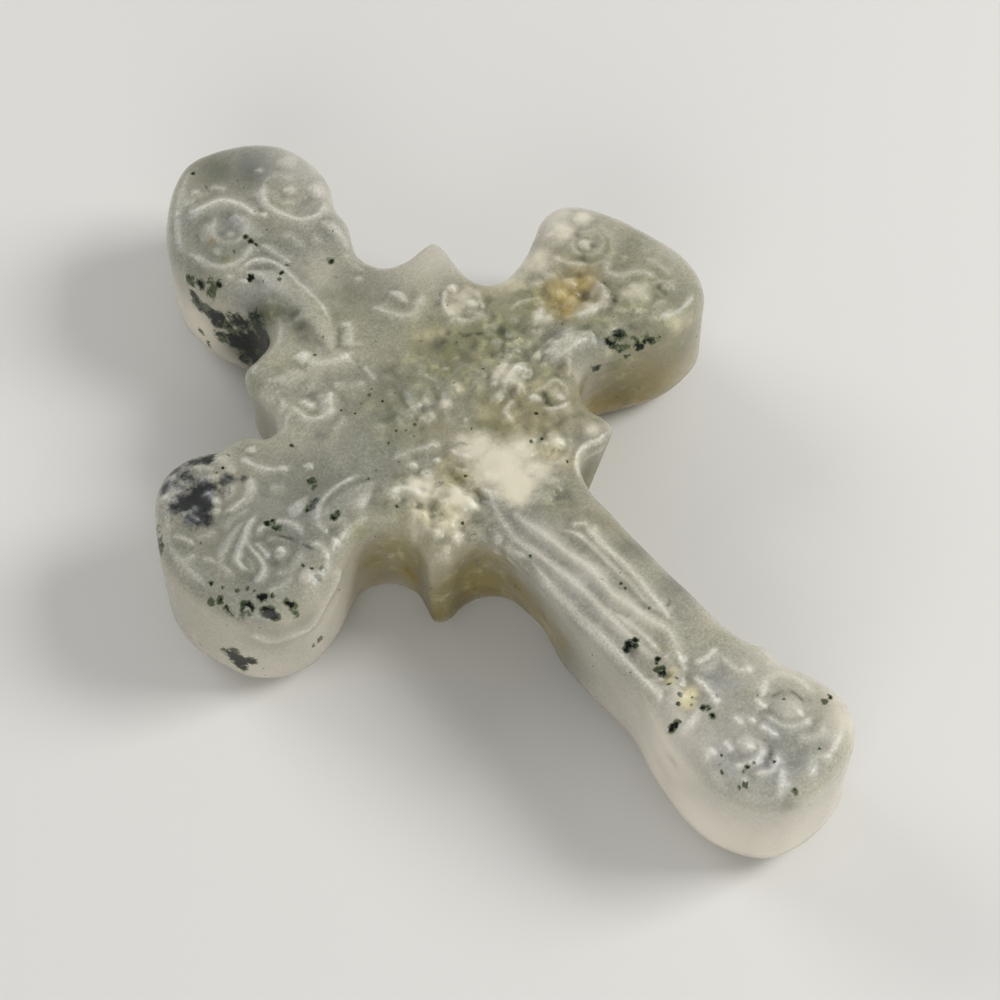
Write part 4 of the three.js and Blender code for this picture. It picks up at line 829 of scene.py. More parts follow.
# Ochre stains.
STAINS = [
    (-7.9, -1.6, 4.6, 1.4, 1.0), (-8.1, -4.3, 3.0, 1.8, 0.8), (-5.4, -5.2, 4.2, 1.8, 1.0),
    (-4.3, -5.9, 5.2, 1.4, 0.9), (-3.8, -8.0, 6.0, 1.6, 0.9), (-3.8, -10.5, 4.5, 1.8, 0.9),
    (-8.0, -2.5, 2.5, 1.3, 1.2), (-8.2, -3.9, 2.0, 1.1, 1.2), (-6.0, -5.2, 2.4, 1.6, 1.1),
    (-4.3, -5.9, 2.8, 1.3, 1.1), (-3.9, -7.6, 2.6, 1.7, 1.2), (-3.8, -9.6, 2.2, 1.5, 1.0),
    (12.5, 1.0, 1.8, 2.2, 1.2), (15.5, 0.0, 2.0, 1.8, 0.9), (-3.8, -13.0, 5.5, 1.3, 0.6),
    (-9.2, 0.4, 6.0, 2.5, 0.6), (-5.0, -5.2, 8.0, 2.4, 0.6), (11.5, 1.2, 3.0, 2.4, 1.1),
    (13.8, 0.9, 2.6, 2.4, 0.9), (16.5, -0.4, 4.0, 3.0, 0.5), (10.5, 0.9, 8.2, 1.2, 0.8),
    (-3.3, 27.5, 0.4, 0.6), (-10.5, -0.2, 5.0, 1.5, 0.5), (-4.4, -14.0, 9.5, 0.4, 0.6),
    (-5.5, -26.2, 8.5, 0.6, 0.5), (-0.6, -20.4, 0.4, 0.5), (-0.2, -19.2, 0.4, 0.3),
    (-1.9, 1.0, 0.5, 0.5), (-2.2, -0.4, 0.9, 0.55), (-6.0, -5.1, 6.5, 2.0, 0.7),
    (-2.4, -2.2, 0.45, 0.7), (3.9, -3.5, 0.5, 0.7), (3.4, -2.7, 0.4, 0.5), (-2.1, -22.0, 0.4, 0.7),
    (12.8, 5.7, 0.5, 0.8), (14.8, 5.9, 0.6, 0.5),
]
# The orange spot of the right arm, and rust along the lower edge of the walls.
GLOW = [
    (13.6, 6.7, 1.7, 1.0), (15.4, 6.8, 1.2, 0.9), (12.8, 5.4, 0.9, 0.8), (14.4, 5.4, 1.0, 0.5),
    (13.0, 0.9, 2.6, 1.8, 0.7), (11.5, 1.1, 3.2, 1.4, 0.7), (15.2, 0.2, 2.2, 1.6, 0.5),
    (-4.0, -9.6, 3.2, 1.2, 0.6), (-3.9, -11.2, 4.2, 0.9, 0.5), (-9.8, 0.4, 2.8, 0.9, 0.4),
    (-8.2, -2.0, 3.0, 0.9, 0.35),
]
# Broad parts with a warm, faintly brown cast.
WARM = [
    (3.0, 2.0, 8.0, 9.0, 0.9), (15.0, 3.0, 5.0, 7.0, 1.0), (-6.0, -4.0, 4.0, 6.0, 1.3),
    (-3.9, -9.0, 4.0, 4.0, 1.0), (9.0, -2.0, 5.0, 5.0, 0.9), (-10.5, 0.7, 4.0, 4.0, 1.0),
    (13.0, 9.0, 6.0, 0.8), (1.5, -8.0, 9.0, 4.0, 0.5),
]
# Rough cream crusts with dark cracks.
CRUSTS = [
    (-3.9, -10.8, 4.0, 0.8, 0.7), (-3.9, -12.0, 4.6, 0.6, 0.5), (-2.2, -24.3, 0.6, 1.3),
    (-1.6, -23.9, 0.6, 1.3), (-2.0, -22.3, 0.4, 1.1), (-1.5, -22.0, 0.35, 1.0),
    (-3.2, 0.3, 0.6, 0.4), (-5.2, -2.6, 1.3, 0.55), (-6.3, -1.4, 1.0, 0.5), (-3.3, -0.6, 0.8, 0.5),
    (4.1, -3.2, 0.8, 0.6), (6.8, 1.9, 0.7, 0.6), (3.7, 10.5, 0.5, 0.5), (2.2, 5.4, 0.5, 0.6),
    (2.4, 2.6, 0.6, 0.5), (5.7, 6.0, 0.9, 0.4), (4.3, -4.6, 0.7, 0.5),
]
# Green haze with pale flakes in it.
GREENS = [
    (-3.8, 19.6, 1.0, 0.9), (-3.6, 25.4, 0.5, 0.6), (-10.4, 0.8, 0.8, 0.8), (14.7, 5.6, 0.7, 0.9),
    (19.6, 2.4, 0.6, 0.9), (19.5, 8.0, 3.0, 0.4), (14.0, 1.0, 3.0, 0.6), (18.5, 0.5, 9.5, 2.5, 0.6),
    (3.5, 8.0, 4.0, 0.8), (7.5, 6.5, 3.5, 0.95), (11.5, 7.8, 2.5, 0.9), (-3.0, 6.0, 3.5, 0.45),
    (7.0, 1.5, 2.2, 0.7), (4.0, -2.5, 1.8, 0.6), (-4.8, -0.8, 3.2, 0.7), (-2.6, -0.2, 1.4, 1.0),
    (-1.8, -1.8, 0.8, 0.8), (17.5, 2.5, 2.5, 0.6), (17.0, 8.5, 1.8, 0.5), (2.5, 2.0, 2.5, 0.6),
    (0.8, 0.6, 0.8, 0.6), (8.9, 10.2, 0.7, 0.8), (0.0, 17.0, 3.0, 0.3), (14.5, 3.5, 1.8, 0.6),
    (9.5, -1.8, 7.0, 3.0, 0.8), (-8.5, -1.0, 7.0, 3.0, 0.7), (-6.2, 15.2, 1.0, 0.5),
    (-8.7, 15.8, 0.9, 0.5), (-5.5, -5.0, 5.0, 3.5, 0.9), (1.5, -6.0, 1.8, 0.5),
    (13.0, 3.6, 1.5, 0.5),
]
# Opaque cream patches.
CREAM = [
    (0.0, 0.6, 1.6, 0.85), (0.2, -1.6, 2.2, 1.0), (2.2, -1.6, 1.6, 0.75), (0.2, -3.7, 1.8, 1.0),
    (2.2, -3.6, 1.6, 0.7), (-0.2, 1.8, 0.8, 0.7), (-3.9, -2.0, 1.4, 0.8), (-5.8, 1.0, 1.2, 0.55),
    (-7.2, -1.6, 1.0, 0.55), (-5.6, -3.0, 1.2, 0.7), (-3.4, -3.0, 0.7, 0.8),
    (-2.0, -24.0, 0.8, 0.6), (5.9, 4.0, 1.3, 0.6), (7.4, 0.6, 0.8, 0.4), (4.7, -2.8, 0.8, 0.7),
    (-0.2, 6.0, 0.5, 0.5), (0.8, 5.0, 0.5, 0.6), (6.6, 10.8, 1.1, 0.5), (7.8, 11.2, 1.0, 0.55),
    (2.0, -10.0, 0.6, 0.5), (-7.0, 25.5, 5.0, 2.4, 0.6), (7.4, -3.5, 0.8, 0.7),
    (13.6, 10.8, 1.2, 0.5), (18.2, 9.2, 0.9, 0.4), (17.8, 3.4, 1.5, 0.5),
    (18.3, -0.6, 10.8, 1.2, 0.35), (19.3, 11.3, 0.9, 0.6), (12.0, 10.6, 1.4, 0.5),
    (11.0, 6.3, 0.8, 0.5), (10.5, 3.2, 1.4, 0.3), (14.2, 10.4, 1.3, 0.6), (17.2, 11.6, 1.5, 0.5),
    (14.3, 4.7, 0.8, 0.5), (-5.2, 0.4, 1.3, 1.0), (-4.5, -3.1, 1.1, 0.7), (3.6, -3.0, 1.1, 0.5),
]
# Milky stone, partly painted glow of light passing through the stone, most of it along the
# walls and in the foot.
MILK_AND_GLOW = [
    (-7.2, 25.5, 4.5, 3.0, 0.9), (-6.6, 23.0, 2.0, 2.0, 0.9), (-6.9, 28.5, 5.0, 3.0, 0.5),
    (4.0, -33.4, 3.4, 4.2, 0.8), (-2.0, -34.6, 4.0, 4.5, 0.8), (-5.0, -29.0, 4.0, 5.0, 1.1),
    (-4.4, -24.0, 4.0, 4.0, 0.9), (6.4, -29.5, 8.0, 3.5, 0.9), (4.6, -26.0, 2.4, 0.6),
    (-12.8, -0.3, 5.0, 3.0, 0.6), (-15.5, -1.6, 7.5, 3.0, 0.5), (-20.0, -0.5, 2.0, 4.0, 0.35),
    (7.4, 29.5, 9.5, 3.0, 0.6), (6.8, 25.5, 10.0, 2.6, 0.5), (-4.0, -20.0, 4.0, 4.0, 0.3),
    (4.4, -21.0, 10.4, 1.2, 0.3), (-1.0, -12.0, 2.5, 0.5), (-1.0, -8.5, 2.0, 0.4),
    (-1.2, -17.0, 2.5, 0.5), (-4.6, -25.5, 8.0, 4.0, 1.0), (-1.5, -28.5, 2.5, 0.35),
    (3.5, -27.8, 1.6, 0.4), (8.6, 15.8, 10.5, 2.6, 0.55), (18.5, 13.0, 10.0, 3.0, 0.9),
    (13.5, 11.4, 10.5, 1.8, 0.8), (11.0, 10.8, 10.5, 1.3, 0.7), (21.5, 9.5, 10.0, 2.0, 0.3),
    (22.5, 4.5, 10.0, 2.0, 0.35), (19.2, -0.4, 10.4, 1.0, 0.4), (8.4, -4.0, 10.8, 0.5, 0.5),
    (5.2, -32.0, 1.6, 0.8), (5.8, -30.5, 10.5, 1.4, 0.7), (0.8, 19.5, 1.6, 0.3),
    (3.0, -29.5, 1.4, 0.35),
]
# Clearer stone, which lets the eye in and looks darker than the milky stone round it. The
# marks on the walls of the notches and of the arms are painted shade.
CLEAR_AND_SHADE = [
    (-17.0, 5.0, 5.0, 0.6), (-20.5, 8.0, 2.5, 0.5), (-11.5, 5.5, 4.0, 0.55), (-12.5, 9.5, 2.5, 0.3),
    (-2.2, 27.5, 3.0, 0.6), (0.5, 32.5, 2.5, 0.6), (-4.6, 26.0, 1.8, 0.6), (1.5, 29.5, 2.5, 0.35),
    (-0.5, 24.0, 2.5, 0.3), (-2.0, 18.0, 2.5, 0.5), (2.0, 17.0, 2.5, 0.45),
    (-5.8, 28.5, 9.0, 2.0, 0.3), (-5.5, 20.5, 5.0, 4.0, 0.5), (-2.0, 8.0, 3.0, 0.5),
    (5.3, 7.2, 2.8, 0.5), (18.5, 7.0, 1.6, 0.3), (16.8, 5.0, 1.0, 0.5), (18.5, 4.0, 2.0, 0.3),
    (1.0, -7.5, 1.6, 0.4), (2.7, -12.5, 0.9, 0.4), (3.6, -10.0, 1.2, 0.35), (3.6, -13.5, 1.2, 0.35),
    (3.6, -17.0, 1.2, 0.35), (-1.5, -8.0, 1.2, 0.25), (0.0, -32.2, 1.0, 0.2),
    (-2.6, -32.8, 0.8, 0.2), (0.0, -30.4, 0.6, 0.35), (-2.8, -15.5, 0.4, 0.35),
    (-2.7, -17.0, 0.4, 0.35), (9.0, -2.0, 5.5, 4.0, 1.1), (8.9, -3.0, 8.5, 2.2, 0.9),
    (3.2, 31.2, 2.2, 0.95), (1.2, 32.6, 2.4, 0.85), (-17.2, -1.4, 8.8, 1.6, 0.35),
    (-6.0, -5.1, 7.0, 2.4, 0.7), (17.0, 0.2, 9.0, 2.5, 0.5), (19.5, -0.5, 7.0, 3.0, 0.5),
    (-5.5, -5.2, 4.0, 4.0, 0.95), (-8.8, 0.0, 4.5, 3.5, 0.85), (-3.9, -11.0, 4.5, 5.0, 0.9),
    (1.5, 33.8, 2.2, 0.5), (12.0, 1.2, 3.0, 3.0, 0.6), (-13.0, -0.5, 6.0, 3.0, 0.2),
    (5.3, -1.3, 1.0, 0.35), (2.5, 0.9, 0.8, 0.3), (-4.5, 6.5, 2.5, 0.2), (0.4, -17.0, 0.35, 0.35),
]
# Thin dark lines and cracks, and painted shade in the deepest furrows: the line and half of
# its width.
DARK_LINES = [
    ([(-15.9, 4.75), (-15.4, 4.0), (-14.8, 3.2), (-14.5, 2.55), (-14.15, 1.55)], 0.13),
    ([(-15.4, 9.8), (-15.6, 9.2), (-15.9, 8.7)], 0.14),
    ([(2.4, -27.7), (3.1, -27.8), (3.7, -28.4), (3.75, -29.2)], 0.1),
    ([(-0.9, -31.2), (-0.3, -30.4)], 0.14),
    ([(5.9, 12.0), (6.8, 12.8)], 0.18),
    ([(5.2, 9.1), (5.9, 8.5), (6.7, 8.0)], 0.18),
    ([(6.65, 1.0), (6.5, 0.4), (6.4, -0.1)], 0.24),
    ([(8.5, 1.8), (8.6, 1.0)], 0.18),
    ([(1.7, -17.95), (2.1, -17.7)], 0.1),
    ([(16.5, 5.6), (16.3, 4.6), (16.2, 4.0)], 0.25),
    ([(-0.1, 1.0), (-0.6, 1.8)], 0.1),
]


# A mark on the face also shows on the rounded rim beside it.
FACE_MARK_FLATNESS = 0.3
LONGEST_LINE = 6.0


def spread(marks, places):
    """How strongly a group of marks shows at each place, from 0 up."""
    shown = np.zeros(len(places))
    for *middle, radius, strength in marks:
        on_the_face = len(middle) == 2
        apart = places - ([*middle, FACE_HEIGHT] if on_the_face else middle)
        if on_the_face:
            apart[:, 2] *= FACE_MARK_FLATNESS
        away = np.linalg.norm(apart, axis=1)
        shown = np.maximum(shown, strength * np.exp(-((away / radius) ** 2)))
    return shown


def lines_shown(places):
    """1 on a dark line, falling to 0 beside it."""
    shown = np.zeros(len(places))
    for points, half in DARK_LINES:
        line = smooth_line(points, LINE_SPACING)
        off_middle = np.linalg.norm(places[:, :2] - line.mean(0), axis=1)
        near = np.nonzero(off_middle < LONGEST_LINE)[0]
        apart = np.linalg.norm(places[near][:, None, :2] - line[None], axis=2).min(axis=1)
        shown[near] = np.maximum(shown[near], np.exp(-((apart / half) ** 2)))
    return shown


# The stone's look: milky grey agate, satin polished, with a soft glow from inside. The
# crests are frosted and carry a painted highlight, and fine tufts and specks break up the
# edges of every mark. Each colour is given as it is seen. Some of them are painted light:
# shade in the furrows, the notches and on the walls, glow on the walls and in the foot, and
# highlights on the crests.
GREY_AGATE = "95948a"
CREAMY_AGATE = "aaa693"
PALE_MOTTLE = "c4c0b0"
PALE_GRAIN = "d2cfc2"
DARK_GRAIN = "6d6e63"
DULL_SPOT = "85857a"
WALL_MILK_AND_GLOW = "cdc4b4"
CLEAR_AGATE_AND_SHADE = "5c5f53"
WARM_AGATE = "8b7d4b"
MILK_AND_GLOW_WHITE = "dfd7c8"
LILAC_MILK = "adaeb4"
GREEN_HAZE = "84855a"
PALE_FLAKE = "cbc59f"
DEEP_GREEN = "62653f"
OCHRE = "86743c"
DEEP_OCHRE = "544e2c"
ORANGE = "b59e5e"
PALE_ORANGE = "cdb988"
DEEP_ORANGE = "8a7338"
FURROW_SHADE_GREY = "54564a"
CREAM_WHITE = "ddd6c0"
FROST_AND_HIGHLIGHT_WHITE = "e4e1d6"
CLOUD_BLACK = "15191d"
CLOUD_FROST_AND_HIGHLIGHT = "b4b8b8"
DEPTH_AND_SHADE_BLACK = "2a2e20"
CRUST_CREAM = "d2c9a4"
CRACK_BROWN = "5a5430"
MOSS_GREEN = "3c4a27"
MOSS_BLACK = "060804"
LINE_AND_SHADE_BLACK = "2e3226"
SPECK_BROWN = "2b2c22"

GLOW_WEIGHT = 0.9
GLOW_DEPTH = 0.9 * MM
GLOW_BY_COLOUR = (1.0, 0.95, 0.8)
AGATE_IOR = 1.54
AGATE_SHINE = 0.28
POLISHED_ROUGHNESS = 0.15
MOTTLED_ROUGHNESS = 0.1
FROSTED_ROUGHNESS = 0.1
BUMP_STRENGTH = 0.5
BUMP_DEPTH = 0.05 * MM
# How far the cell pattern is bent by the fine noise, and how fine that noise is.
CELL_BEND = 0.0012
CELL_BEND_SCALE = 1.5


def seen(hexcode):
    """A colour given as it is seen, as the linear values that a shader takes."""
    parts = [int(hexcode[i:i + 2], 16) / 255 for i in (0, 2, 4)]
    return tuple(((c + 0.055) / 1.055) ** 2.4 if c > 0.04 else c / 12.92 for c in parts) + (1.0,)


agate = bpy.data.materials.new("milky_moss_agate")
agate.use_nodes = True
nodes = agate.node_tree.nodes
links = agate.node_tree.links
nodes.clear()
output = nodes.new("ShaderNodeOutputMaterial")
shader = nodes.new("ShaderNodeBsdfPrincipled")
links.new(shader.outputs["BSDF"], output.inputs["Surface"])
shader.inputs["Subsurface Weight"].default_value = GLOW_WEIGHT
shader.inputs["Subsurface Radius"].default_value = GLOW_BY_COLOUR
shader.inputs["Subsurface Scale"].default_value = GLOW_DEPTH
shader.inputs["IOR"].default_value = AGATE_IOR
shader.inputs["Specular IOR Level"].default_value = AGATE_SHINE
coordinates = nodes.new("ShaderNodeTexCoord").outputs["Object"]


def noise_node(scale, detail, roughness):
    """A noise whose scale counts its waves in a millimetre."""
    texture = nodes.new("ShaderNodeTexNoise")
    texture.inputs["Scale"].default_value = scale / MM
    texture.inputs["Detail"].default_value = detail
    texture.inputs["Roughness"].default_value = roughness
    links.new(coordinates, texture.inputs["Vector"])
    return texture


def noise_at(scale, detail=3.0, roughness=0.55):
    """The strength of a noise, from 0 to 1."""
    return noise_node(scale, detail, roughness).outputs["Fac"]


def marked(name):
    """How strongly the stone is marked: a value that the mesh holds at each of its points."""
    node = nodes.new("ShaderNodeAttribute")
    node.attribute_name = name
    return node.outputs["Fac"]


def reckon(operation, first, second):
    """A sum of two values, each of them a number or a socket."""
    node = nodes.new("ShaderNodeMath")
    node.operation = operation
    for socket, value in zip(node.inputs, (first, second)):
        if isinstance(value, (int, float)):
            socket.default_value = value
        else:
            links.new(value, socket)
    return node.outputs["Value"]


def both(first, second):
    """The product of two shares, above 0 only where both are."""
    return reckon("MULTIPLY", first, second)


def between(value, low, high):
    """0 at low and 1 at high, with a smooth step between. Low may be the larger number."""
    node = nodes.new("ShaderNodeMapRange")
    node.interpolation_type = "SMOOTHSTEP"
    links.new(value, node.inputs["Value"])
    node.inputs["From Min"].default_value = low
    node.inputs["From Max"].default_value = high
    return node.outputs["Result"]


def blend_colour(share, first, second):
    """The first colour where the share is 0, the second where it is 1."""
    node = nodes.new("ShaderNodeMix")
    node.data_type = "RGBA"
    links.new(share, node.inputs["Factor"])
    for socket, value in ((node.inputs[6], first), (node.inputs[7], second)):
        if isinstance(value, tuple):
            socket.default_value = value
        else:
            links.new(value, socket)
    return node.outputs[2]


def cells_at(scale, feature, output):
    """Cell pattern of the tufts and specks, bent by a fine noise so that no edge is straight."""
    mixed = nodes.new("ShaderNodeMix")
    mixed.data_type = "VECTOR"
    mixed.inputs["Factor"].default_value = CELL_BEND
    links.new(coordinates, mixed.inputs[4])
    bend = noise_node(CELL_BEND_SCALE, detail=4.0, roughness=0.5)
    links.new(bend.outputs["Color"], mixed.inputs[5])
    cells = nodes.new("ShaderNodeTexVoronoi")
    cells.feature = feature
    cells.inputs["Scale"].default_value = scale / MM
    links.new(mixed.outputs[1], cells.inputs["Vector"])
    return cells.outputs[output]


cloudy = noise_at(0.11, detail=2.0)
mottled = noise_at(0.5, detail=6.0, roughness=0.65)
crusty = noise_at(1.3, detail=6.0, roughness=0.75)
flakes = noise_at(0.8, detail=5.0, roughness=0.6)
tufts = noise_at(1.1, detail=5.0, roughness=0.75)
grain = noise_at(5.0, detail=3.0, roughness=0.7)
lace = cells_at(1.6, "DISTANCE_TO_EDGE", "Distance")

green = marked("green")
stain = marked("stain")
glow = marked("glow")
speckled = reckon("ADD", 0.7, both(between(grain, 0.42, 0.62), 0.45))
frost_and_highlight_shown = both(marked("frost_and_highlight"), speckled)
cream = reckon("ADD", marked("cream"), both(flakes, 0.6))
cream = between(reckon("ADD", cream, both(crusty, 0.5)), 0.65, 1.4)
cloud = reckon("ADD", marked("cloud"), both(crusty, 0.7))
cloud = between(reckon("ADD", cloud, tufts), 1.2, 1.65)
crust = both(marked("crust"), between(crusty, 0.25, 0.5))
mossy = between(marked("moss"), 0.08, 0.3)
moss = reckon("ADD", marked("moss"), both(tufts, 2.0))
moss = reckon("SUBTRACT", moss, both(lace, 1.1))
moss_core = both(both(mossy, between(moss, 1.34, 1.52)), between(flakes, 0.36, 0.46))
speck = between(cells_at(0.9, "F1", "Distance"), 0.1, 0.06)
cell_choice = nodes.new("ShaderNodeSeparateColor")
links.new(cells_at(0.9, "F1", "Color"), cell_choice.inputs["Color"])
few_specks = both(speck, reckon("GREATER_THAN", cell_choice.outputs["Red"], 0.78))

# The tints, laid over the grey stone one after another: where each shows, its colour and how
# far it hides what lies under it.
TINTS = [
    (between(mottled, 0.5, 0.75), PALE_MOTTLE, 0.5),
    (between(grain, 0.5, 0.66), PALE_GRAIN, 0.32),
    (between(grain, 0.48, 0.34), DARK_GRAIN, 0.32),
    (between(crusty, 0.45, 0.3), DULL_SPOT, 0.4),
    # Painted glow: the walls lighter below the face.
    (marked("wall"), WALL_MILK_AND_GLOW, 0.3),
    # Clearer stone, and painted shade on the walls of the notches and arms.
    (marked("clear"), CLEAR_AGATE_AND_SHADE, 0.9),
    (both(marked("warm"), between(cloudy, 0.2, 0.6)), WARM_AGATE, 0.7),
    # Milky stone, and painted glow on the walls and in the foot.
    (marked("milk_and_glow"), MILK_AND_GLOW_WHITE, 0.85),
    (both(marked("lilac"), between(mottled, 0.2, 0.6)), LILAC_MILK, 0.5),
    (both(green, between(mottled, 0.25, 0.6)), GREEN_HAZE, 0.8),
    (both(green, between(flakes, 0.52, 0.68)), PALE_FLAKE, 0.75),
    (both(green, between(flakes, 0.45, 0.3)), DEEP_GREEN, 0.7),
    (both(stain, between(mottled, 0.2, 0.55)), OCHRE, 1.0),
    (both(stain, between(crusty, 0.45, 0.35)), DEEP_OCHRE, 0.7),
    (both(glow, between(flakes, 0.1, 0.5)), ORANGE, 0.85),
    (both(glow, between(crusty, 0.52, 0.66)), PALE_ORANGE, 0.6),
    (both(glow, between(crusty, 0.46, 0.36)), DEEP_ORANGE, 0.6),
    # Painted shade in the furrows of the relief.
    (both(marked("furrow"), between(crusty, 0.7, 0.35)), FURROW_SHADE_GREY, 0.48),
    (cream, CREAM_WHITE, 0.95),
    # Frosting with a painted highlight on the crests.
    (frost_and_highlight_shown, FROST_AND_HIGHLIGHT_WHITE, 0.7),
    (cloud, CLOUD_BLACK, 0.93),
    # Frosting with a painted highlight over the grey-black cloud.
    (both(cloud, frost_and_highlight_shown), CLOUD_FROST_AND_HIGHLIGHT, 0.6),
    # Dark depths, and painted shade in the notches, on the walls and beside the carving.
    (marked("shadow"), DEPTH_AND_SHADE_BLACK, 0.9),
    (crust, CRUST_CREAM, 0.9),
    (both(crust, between(crusty, 0.46, 0.36)), CRACK_BROWN, 0.75),
    (both(mossy, between(moss, 0.95, 1.3)), MOSS_GREEN, 0.85),
    (moss_core, MOSS_BLACK, 1.0),
    # Dark lines and cracks, and painted shade in the deepest furrows.
    (both(marked("line"), between(tufts, 0.35, 0.6)), LINE_AND_SHADE_BLACK, 0.8),
    (few_specks, SPECK_BROWN, 0.85),
]
stone = blend_colour(between(cloudy, 0.35, 0.65), seen(GREY_AGATE), seen(CREAMY_AGATE))
for share, colour, most in TINTS:
    stone = blend_colour(both(share, most), stone, seen(colour))
links.new(stone, shader.inputs["Base Color"])

roughness = reckon("ADD", POLISHED_ROUGHNESS, both(mottled, MOTTLED_ROUGHNESS))
roughness = reckon("ADD", roughness, both(frost_and_highlight_shown, FROSTED_ROUGHNESS))
links.new(roughness, shader.inputs["Roughness"])
bump = nodes.new("ShaderNodeBump")
bump.inputs["Strength"].default_value = BUMP_STRENGTH
bump.inputs["Distance"].default_value = BUMP_DEPTH
links.new(reckon("ADD", both(grain, 0.8), crusty), bump.inputs["Height"])
links.new(bump.outputs["Normal"], shader.inputs["Normal"])


# The carved cross itself, one piece of stone from its flat back to its carved face. It is one
# closed mesh: the rings of the blank, and two flat fillings, of which the upper is then raised
# to the carved relief.
RELIEF_SHARE = 0.95
RELIEF_MOST = 0.6
# The carving starts a hair inside the edge, and is full where this share of the rounding is
# passed. The frosting and its painted highlight are full sooner. The milky wall, lightened
# with painted glow, starts this far below the face.
CARVING_START = 0.05
CARVING_FULL = 0.72
FROST_AND_HIGHLIGHT_FULL = 0.3
WALL_START = 0.6
WALL_FULL = 1.6
HAIR = 0.01

count = len(outline)
points = np.vstack(rings)
faces = []
for level in range(len(rings) - 1):
    for i in range(count):
        a = level * count + i
        b = level * count + (i + 1) % count
        faces.append((a, a + count, b + count, b))

back_inner, back_triangles = filled(rings[0][:, :2], BACK_POINT_SPACING)
first = len(points)
points = np.vstack([points, np.column_stack([back_inner, np.zeros(len(back_inner))])])
for triangle in back_triangles:
    a, b, c = (i if i < count else first + i - count for i in triangle)
    faces.append((a, c, b))

last_ring = (len(rings) - 1) * count
face_inner, face_triangles = filled(rings[-1][:, :2], FACE_POINT_SPACING)
first = len(points)
points = np.vstack([points, np.column_stack([face_inner, np.full(len(face_inner), FACE_HEIGHT)])])
for triangle in face_triangles:
    faces.append(tuple(last_ring + i if i < count else first + i - count for i in triangle))

edge_tree = kdtree.KDTree(count)
for i, (x, y) in enumerate(outline):
    edge_tree.insert((x, y, 0), i)
edge_tree.balance()
upper = np.nonzero(points[:, 2] > FACE_HEIGHT - RIM_ROUNDING - HAIR)[0]
nearest_edge = [edge_tree.find((x, y, 0)) for x, y in points[upper, :2]]
depth = np.array([found[2] for found in nearest_edge])
rim_there = rim[[found[1] for found in nearest_edge]]
on_face = np.clip((depth - CARVING_START) / (CARVING_FULL * rim_there), 0, 1)
on_face = on_face ** 2 * (3 - 2 * on_face)
frost_and_highlight_face = np.clip(depth / (FROST_AND_HIGHLIGHT_FULL * rim_there), 0, 1)
points[upper, 2] += RELIEF_SHARE * on_grid(relief, points[upper]) * on_face
points[:, 2] = np.clip(points[:, 2], 0, FACE_HEIGHT + RELIEF_MOST)

# How strongly each point is marked, for the material.
marks_by_name = {
    "moss": MOSS, "lilac": LILAC, "cloud": CLOUDS, "shadow": SHADOWS, "stain": STAINS,
    "green": GREENS, "clear": CLEAR_AND_SHADE, "glow": GLOW, "milk_and_glow": MILK_AND_GLOW, "warm": WARM, "crust": CRUSTS,
    "cream": CREAM,
}
shown = {name: spread(marks, points) for name, marks in marks_by_name.items()}
shown["warm"] = np.minimum(shown["warm"], 1)
below_face = FACE_HEIGHT - points[:, 2]
# Painted glow: the walls lighter from just below the face downwards.
shown["wall"] = np.clip((below_face - WALL_START) / (WALL_FULL - WALL_START), 0, 1)
shown["line"] = lines_shown(points) * (points[:, 2] > FACE_HEIGHT - RIM_ROUNDING)
# Painted shade in the furrows of the relief.
shown["furrow"] = np.zeros(len(points))
shown["furrow"][upper] = on_grid(furrows, points[upper]) * on_face
# Frosting with a painted highlight on the crests of the face.
shown["frost_and_highlight"] = np.zeros(len(points))
shown["frost_and_highlight"][upper] = on_grid(frost_and_highlight_grid, points[upper]) * frost_and_highlight_face
# Painted highlight along the crests of the walls.
for line, half, _, white in WALL_CRESTS:
    wall_crest_highlight = white * wall_crest(points, line, FROST_AND_HIGHLIGHT_SHARE * half)
    shown["frost_and_highlight"] = np.maximum(shown["frost_and_highlight"], wall_crest_highlight)

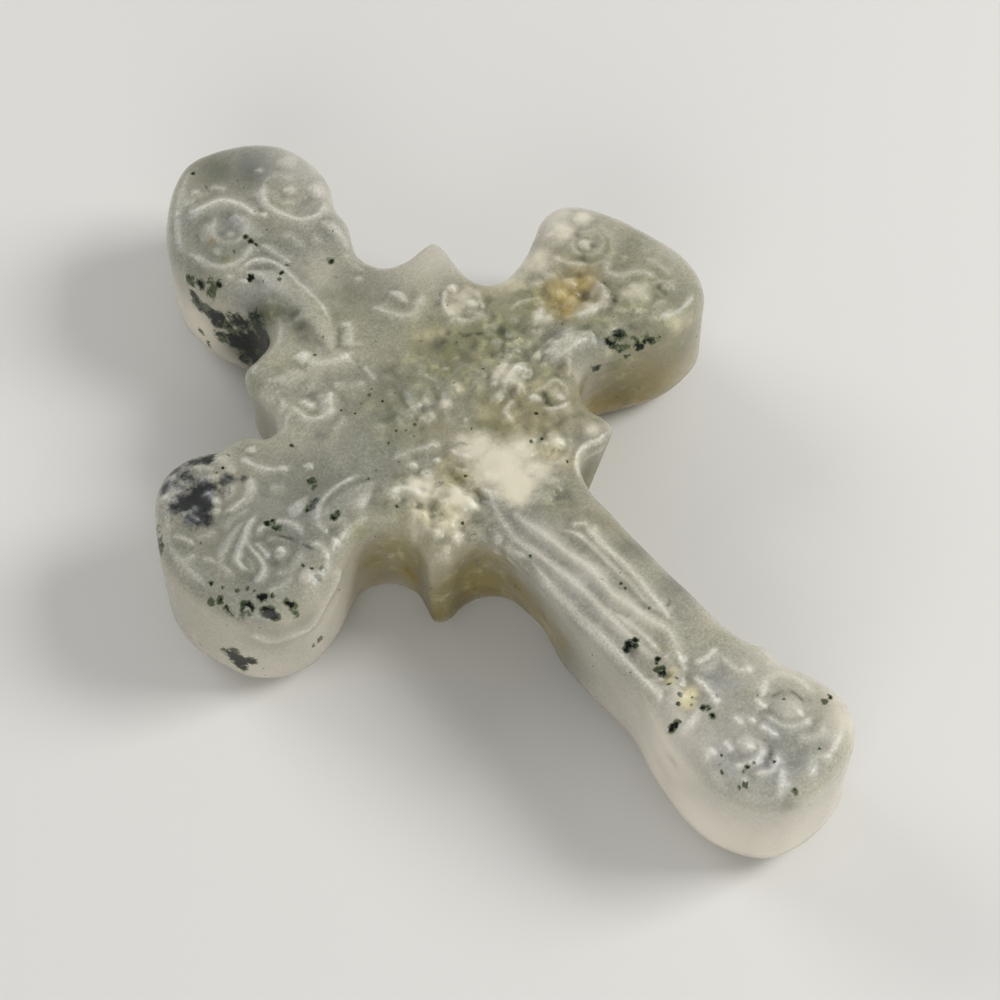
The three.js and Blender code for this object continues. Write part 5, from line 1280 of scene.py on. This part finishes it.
mesh = bpy.data.meshes.new("carved_cross")
middle = np.array([*OFF_MIDDLE, 0.0])
mesh.from_pydata(((points - middle) * MM).tolist(), [], faces)
mesh.update()
mesh.shade_smooth()
for name, values in shown.items():
    layer = mesh.attributes.new(name, "FLOAT", "POINT")
    layer.data.foreach_set("value", values.astype(np.float32))
mesh.materials.append(agate)
carved_cross = bpy.data.objects.new("carved_cross", mesh)
bpy.context.scene.collection.objects.link(carved_cross)
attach(carved_cross, "root")
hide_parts("stone_cross")


# The floor: a plain pale sheet, wide enough to fill every view.
FLOOR_HALF = 2.0
FLOOR_COLOUR = "d9d7d2"
FLOOR_ROUGHNESS = 0.6

floor_mesh = bpy.data.meshes.new("floor")
floor_mesh.from_pydata(
    [(x * FLOOR_HALF, y * FLOOR_HALF, 0.0) for x, y in ((-1, -1), (1, -1), (1, 1), (-1, 1))],
    [], [(0, 1, 2, 3)],
)
floor_paint = bpy.data.materials.new("pale_floor")
floor_paint.use_nodes = True
floor_shader = floor_paint.node_tree.nodes["Principled BSDF"]
floor_shader.inputs["Base Color"].default_value = seen(FLOOR_COLOUR)
floor_shader.inputs["Roughness"].default_value = FLOOR_ROUGHNESS
floor_mesh.materials.append(floor_paint)
floor = bpy.data.objects.new("floor", floor_mesh)
bpy.context.scene.collection.objects.link(floor)


# The light: a soft lamp to the right of the cross, one beyond its top, a wide one at the
# viewer's left, and an even pale surround.
# Each lamp has its place and its width in metres, and its power in watts.
LAMPS = [
    ("side_lamp", (0.34, -0.22, 0.34), 0.22, 2.0),
    ("back_lamp", (-0.10, 0.50, 0.25), 0.30, 1.2),
    ("front_lamp", (-0.40, -0.40, 0.22), 0.45, 1.6),
]
SURROUND_COLOUR = "e6e8ea"
SURROUND_STRENGTH = 0.40

for name, place, width, power in LAMPS:
    lamp_data = bpy.data.lights.new(name, "AREA")
    lamp_data.shape = "SQUARE"
    lamp_data.size = width
    lamp_data.energy = power
    lamp = bpy.data.objects.new(name, lamp_data)
    lamp.location = place
    lamp.rotation_euler = (-Vector(place)).to_track_quat("-Z", "Y").to_euler()
    bpy.context.scene.collection.objects.link(lamp)

surround = bpy.data.worlds.new("surround")
surround.use_nodes = True
background = surround.node_tree.nodes["Background"]
background.inputs["Color"].default_value = seen(SURROUND_COLOUR)
background.inputs["Strength"].default_value = SURROUND_STRENGTH
bpy.context.scene.world = surround
